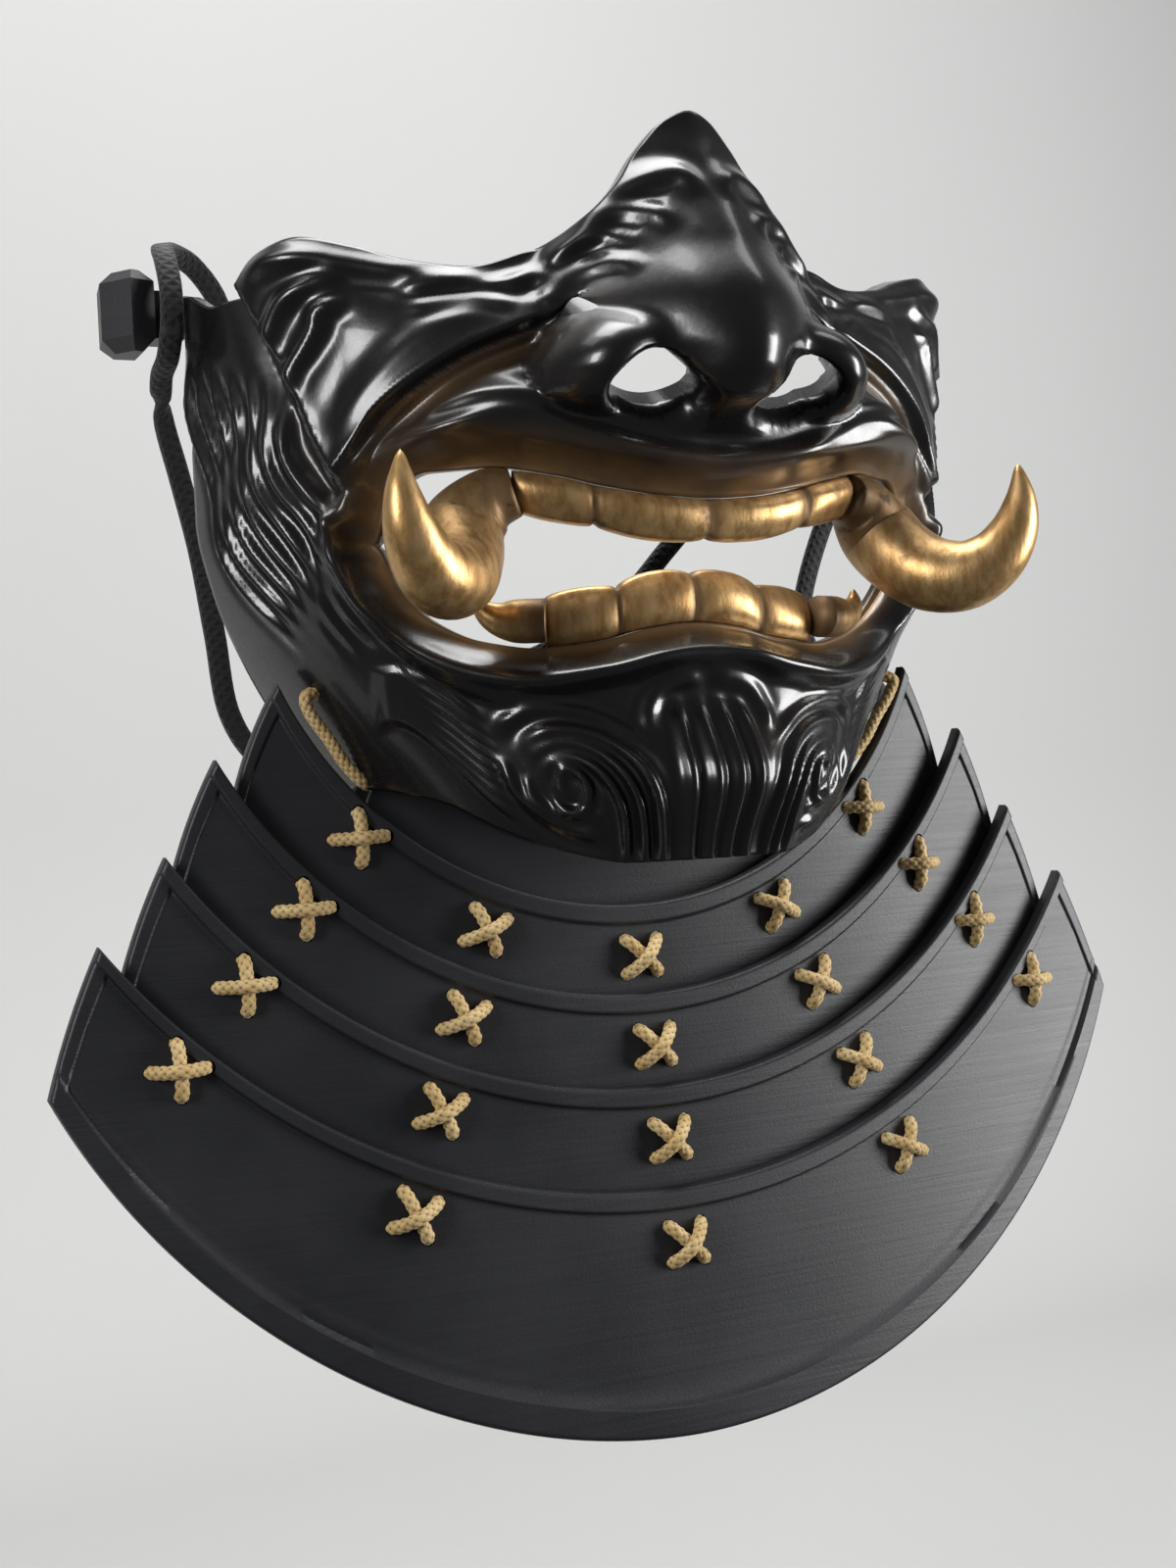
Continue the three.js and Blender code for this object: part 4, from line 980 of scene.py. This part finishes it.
class Recipe:
    """A material and its node tree."""

    def __init__(self, name):
        self.material = bpy.data.materials.new(name)
        self.material.use_nodes = True
        self.tree = self.material.node_tree
        self.tree.nodes.clear()
        self.output = self.tree.nodes.new("ShaderNodeOutputMaterial")
        self.place = self.node("ShaderNodeTexCoord", output="Object")

    def node(self, kind, settings=(), sockets=(), output=0):
        """Adds a node: first its settings, then the values or links of its sockets."""
        made = self.tree.nodes.new(kind)
        for key, value in dict(settings).items():
            setattr(made, key, value)
        for key, value in dict(sockets).items():
            if isinstance(value, Value):
                self.tree.links.new(value.socket, made.inputs[key])
            else:
                made.inputs[key].default_value = value
        return Value(self, made.outputs[output])

    def maths(self, operation, first, second=0.0):
        return self.node("ShaderNodeMath", {"operation": operation}, {0: first, 1: second})

    def mix(self, share, first, second):
        """Mixes two colours by a share."""
        pair = {key: value if isinstance(value, Value) else (*value, 1.0)
                for key, value in ((6, first), (7, second))}
        return self.node("ShaderNodeMix", {"data_type": "RGBA"}, {0: share, **pair}, output=2)

    def noise(self, size, detail=4.0, stretch=(1, 1, 1), roughness=0.5):
        """Cloudy noise between 0 and 1 whose patches are about size millimetres across."""
        scaled = self.node("ShaderNodeVectorMath", {"operation": "MULTIPLY"},
                           {0: self.place, 1: [1000 / size * part for part in stretch]})
        return self.node("ShaderNodeTexNoise", {},
                         {"Vector": scaled, "Scale": 1.0, "Detail": detail, "Roughness": roughness})

    def kept(self, name):
        """A number kept on the mesh's points."""
        return self.node("ShaderNodeAttribute", {"attribute_name": name}, output="Fac")

    def bump(self, height, depth, normal=None):
        """Bends the light as a height of 0 to 1 would, where 1 is depth millimetres."""
        sockets = {"Height": height, "Strength": 1.0, "Distance": depth * MM}
        if normal:
            sockets["Normal"] = normal
        return self.node("ShaderNodeBump", {}, sockets)

    def finish(self, **sockets):
        """Ends the tree in one Principled shader. A name's underscores stand for spaces."""
        named = {key.replace("_", " "): value for key, value in sockets.items()}
        named = {key: (*value, 1.0) if key in ("Base Color", "Sheen Tint") and not isinstance(value, Value)
                 else value for key, value in named.items()}
        shader = self.node("ShaderNodeBsdfPrincipled", {}, named, output="BSDF")
        self.tree.links.new(shader.socket, self.output.inputs["Surface"])
        return self.material


# %% [markdown]
# ## Finishes
# The shell's lacquer is black with a warm brown in its hollows, and wet-looking: a smooth base
# under a clear coat, with a very slight unevenness that breaks up the reflections. Near the mouth
# it thins out to a brown-gold wash. Numbers kept on the mesh say how deep a point lies and how near
# the lips' edge it is, so the wash follows the carving wherever it goes.

# %% Lacquer
def lacquer():
    look = Recipe("black_lacquer")
    cloud = look.noise(9, 5)
    hollow = look.kept("hollow")
    wash = look.kept("wash")
    worn = (wash * (cloud * 1.6 - 0.1)).clamped()
    warm = (hollow * 0.75 + look.noise(24, 3).between(0.45, 0.75) * 0.25).clamped()
    black = look.mix(warm, (0.0060, 0.0056, 0.0060), (0.016, 0.0105, 0.0075))
    colour = look.mix(worn, black, (0.200, 0.118, 0.050))
    rough = 0.22 + look.noise(3, 4) * 0.10 + worn * 0.14 + hollow * 0.08
    skin = look.noise(5.5, 2) * 0.7 + look.noise(0.9, 2) * 0.3
    return look.finish(
        Base_Color=colour, Roughness=rough, Metallic=worn * 0.55, Coat_Weight=0.30 - worn * 0.2,
        Coat_Roughness=0.10, IOR=1.5, Normal=look.bump(skin, 0.05))


# %% [markdown]
# The plates came off a printer in thin layers and were rubbed down and sprayed satin black. Fine
# level lines still show as a silky streak in the sheen. They are a wave along Z under a millimetre
# long, made uneven by noise stretched flat, so it's a height and a roughness, never a drawn line.

# %% Satin black
def satin_black():
    look = Recipe("satin_black_spray")
    streaks = look.noise(3.2, 5, stretch=(0.05, 0.05, 2.6), roughness=0.65)
    grain = look.noise(0.55, 2)
    cloud = look.noise(28, 3)
    colour = look.mix(cloud.between(0.3, 0.7), (0.0105, 0.0110, 0.0135), (0.0175, 0.0180, 0.0210))
    rough = 0.36 + streaks * 0.13 + grain * 0.05 + (cloud - 0.5) * 0.08
    height = look.bump(streaks, 0.10)
    return look.finish(Base_Color=colour, Roughness=rough, Metallic=0.0, IOR=1.5,
                       Normal=look.bump(grain, 0.035, height))


# %% [markdown]
# Teeth and tusks are brushed with gold over a dark ground, then rubbed. The gold is a metal, patchy
# at two sizes, with the brown ground left in the joints and in a few brushed streaks.

# %% Antique gold
def antique_gold():
    look = Recipe("antique_gold_paint")
    patches = look.noise(7, 6, roughness=0.62)
    brushed = look.noise(2.4, 5, stretch=(1, 1, 0.22), roughness=0.6)
    speck = look.noise(0.7, 3)
    bare = (patches.between(0.56, 0.72) * 0.55 + look.kept("hollow") * 0.8
            + brushed.between(0.6, 0.8) * 0.3).clamped()
    gold = look.mix(brushed.between(0.3, 0.65), (0.43, 0.240, 0.085), (0.66, 0.425, 0.190))
    colour = look.mix(bare, gold, (0.075, 0.040, 0.018))
    rough = 0.30 + brushed * 0.16 + bare * 0.18
    height = look.bump(brushed * 0.6 + patches * 0.4, 0.16)
    return look.finish(Base_Color=colour, Roughness=rough, Metallic=0.82 - bare * 0.35,
                       Normal=look.bump(speck, 0.03, height))


# %% [markdown]
# The lacing is a soft pale-gold braid. The height kept from the braid darkens its valleys with painted shade, and
# fine noise stands for single threads.

# %% Gold cord and black strap
def gold_cord():
    look = Recipe("gold_braid")
    strand = look.kept("strand")
    threads = look.noise(0.45, 2, stretch=(1, 1, 1))
    tone = look.noise(5, 2)
    pale = look.mix(tone.between(0.35, 0.65), (0.57, 0.385, 0.150), (0.70, 0.51, 0.235))
    # The dark brown in the braid's valleys is painted shade.
    colour = look.mix(strand.between(0.15, 0.75), (0.085, 0.045, 0.014), pale)
    return look.finish(Base_Color=colour, Roughness=0.58 + threads * 0.2, Metallic=0.0,
                       Sheen_Weight=0.25, Sheen_Roughness=0.4, Normal=look.bump(threads, 0.07))


def black_weave():
    look = Recipe("black_flat_braid")
    run, turn = look.kept("run"), look.kept("turn")
    one = look.maths("SINE", run * 2.6 + turn * 6.0)
    other = look.maths("SINE", run * 2.6 - turn * 6.0)
    weave = look.maths("MAXIMUM", one, other) * 0.5 + 0.5
    fuzz = look.noise(0.4, 2)
    colour = look.mix(weave * 0.7 + fuzz * 0.3, (0.0035, 0.0035, 0.0040), (0.016, 0.016, 0.018))
    return look.finish(Base_Color=colour, Roughness=0.72 + fuzz * 0.15, Metallic=0.0, Sheen_Weight=0.2,
                       Sheen_Roughness=0.5, Normal=look.bump(weave * 0.8 + fuzz * 0.2, 0.3))


finishes = {"lacquer": lacquer(), "satin_black": satin_black(), "antique_gold": antique_gold(),
            "gold_cord": gold_cord(), "black_cord": black_weave()}
print({name: len(material.node_tree.nodes) for name, material in finishes.items()})

# %% [markdown]
# ## Dressing the pieces
# Each new piece rides on the one body, takes its finish and stands for its solid. The two strap
# knobs are right as they were made, faceted, so those solids stay and only change their material.

# %% Numbers that the finishes read
paint(strap, "run", np.repeat(np.linspace(0, strap_length, STRAP["rings"]), STRAP["around"]))
paint(strap, "turn", np.tile(np.linspace(0, 2 * np.pi, STRAP["around"]), STRAP["rings"]))
angle, height = spots.T
cut_in = carving(angle, height)
away = distance_to(mouth_edge, np.abs(angle) * MM_PER_DEGREE, height)[0]
from_plate = distance_to(plate_edge, np.abs(angle) * MM_PER_DEGREE, height)[0]
under_plate = bell(from_plate / 5) * ~is_inside(plate_outline, np.abs(angle) * MM_PER_DEGREE, height)
hollow = np.clip(-cut_in / 0.9, 0, 1) * 0.7 + under_plate * 0.8
band_wide = 1.8 + 2.4 * smooth((height - 45) / 12)
under_middle = under_plate * bell((np.abs(angle) - 34) / 9)
wash = np.clip(bell(np.maximum(0, away - 0.5) / band_wide) + 0.55 * under_middle, 0, 1)
paint(shell, "hollow", np.r_[hollow, 0 * hollow])
paint(shell, "wash", np.r_[wash, 0.3 * wash])
for row, teeth in ((UPPER_TEETH, upper_teeth), (LOWER_TEETH, lower_teeth)):
    stations = (len(teeth.data.vertices) - 2) // 40
    share = np.linspace(0, len(row["joints"]) - 1, stations) % 1
    joint = bell(np.minimum(share, 1 - share) / 0.09)
    paint(teeth, "hollow", np.r_[np.repeat(joint, 40), 0.5, 0.5])
# The tusks and fangs get darker towards the root.
for horns, sides in ((tusks, 36), (fangs, 24)):
    for piece in horns.values():
        root = bell(np.linspace(0, 1, 90) / 0.3)
        paint(piece, "hollow", np.r_[np.repeat(root, sides), 1, 0])

# %% Dress
dress(strap, finishes["black_cord"], "black_cord", "head_strap")
dress(shell, finishes["lacquer"], "lacquer", "mask_shell")
dress(upper_teeth, finishes["antique_gold"], "antique_gold", "upper_teeth")
dress(lower_teeth, finishes["antique_gold"], "antique_gold", "lower_teeth")
for side, word in ((-1, "left"), (1, "right")):
    dress(tusks[side], finishes["antique_gold"], "antique_gold", f"tusk_{word}")
    dress(fangs[side], finishes["antique_gold"], "antique_gold", f"fang_{word}")
    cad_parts[f"strap_knob_{word}"].data.materials[0] = finishes["satin_black"]
for name, piece in throat.items():
    dress(piece, finishes["satin_black"], "satin_black", name)
for name, piece in lacings.items():
    dress(piece, finishes["gold_cord"], "gold_cord", name)

# %% [markdown]
# ## Studio
# The guard is photographed against a plain pale wall, in soft light from above and a little to the
# right. Glossy black shows little but what it reflects, so the lights are large panels, whose
# reflections draw the carving. The floor runs up into the wall in one smooth bend.

# %% Backdrop and lights
def backdrop():
    """A floor that bends up into a wall: a straight run, a quarter circle, and a straight rise."""
    floor, back, bend, half = -260.0, 620.0, 260.0, 1500.0
    turn = np.linspace(0, np.pi / 2, 24)
    y = np.concatenate([[40], back - bend + bend * np.sin(turn), [back]])
    z = np.concatenate([[floor], floor + bend - bend * np.cos(turn), [1500]])
    x = np.linspace(-half, half, 3)
    points = np.stack(np.broadcast_arrays(x[None, :], y[:, None], z[:, None]), -1)
    return add_mesh("pale_backdrop", points.reshape(-1, 3), grid_quads(len(y), 3))


def pale_wall():
    look = Recipe("pale_paper")
    tone = look.noise(260, 2)
    colour = look.mix(tone, (0.54, 0.545, 0.535), (0.575, 0.58, 0.57))
    return look.finish(Base_Color=colour, Roughness=0.9, Metallic=0.0)


def panel(name, place, target, size, power):
    """A soft rectangular light at a place in millimetres, turned to face a target."""
    light = bpy.data.lights.new(name, "AREA")
    light.shape, light.size, light.size_y = "RECTANGLE", size[0] * MM, size[1] * MM
    light.energy = power
    obj = bpy.data.objects.new(name, light)
    ahead = (np.array(target) - place) / np.linalg.norm(np.array(target) - place)
    right = np.cross(ahead, (0, 0, 1))
    right /= np.linalg.norm(right)
    turned = np.eye(4)
    turned[:3, :3] = np.stack([right, np.cross(right, ahead), -ahead], 1)
    turned[:3, 3] = np.array(place) * MM
    obj.matrix_world = Matrix(turned.tolist())
    bpy.context.scene.collection.objects.link(obj)
    return obj


wall_paper = backdrop()
wall_paper.data.materials.append(pale_wall())
PANELS = [  # name, place, target, size, watts
    ("key", (850, -450, 60), (0, 0, 0), (320, 640), 11),
    ("top", (-40, 90, 800), (0, 0, 0), (560, 300), 4),
    ("left", (-780, -380, 260), (0, 0, 20), (200, 420), 4.5),
    ("wall_wash", (0, 120, 900), (0, 640, 0), (1400, 400), 4),
]
for row in PANELS:
    panel(*row)
world = bpy.data.worlds.new("soft_room")
world.use_nodes = True
world.node_tree.nodes["Background"].inputs["Color"].default_value = (0.93, 0.95, 1.0, 1.0)
world.node_tree.nodes["Background"].inputs["Strength"].default_value = 0.10
bpy.context.scene.world = world
bpy.context.scene.view_settings.view_transform = "Standard"
print(len(PANELS), "panels")
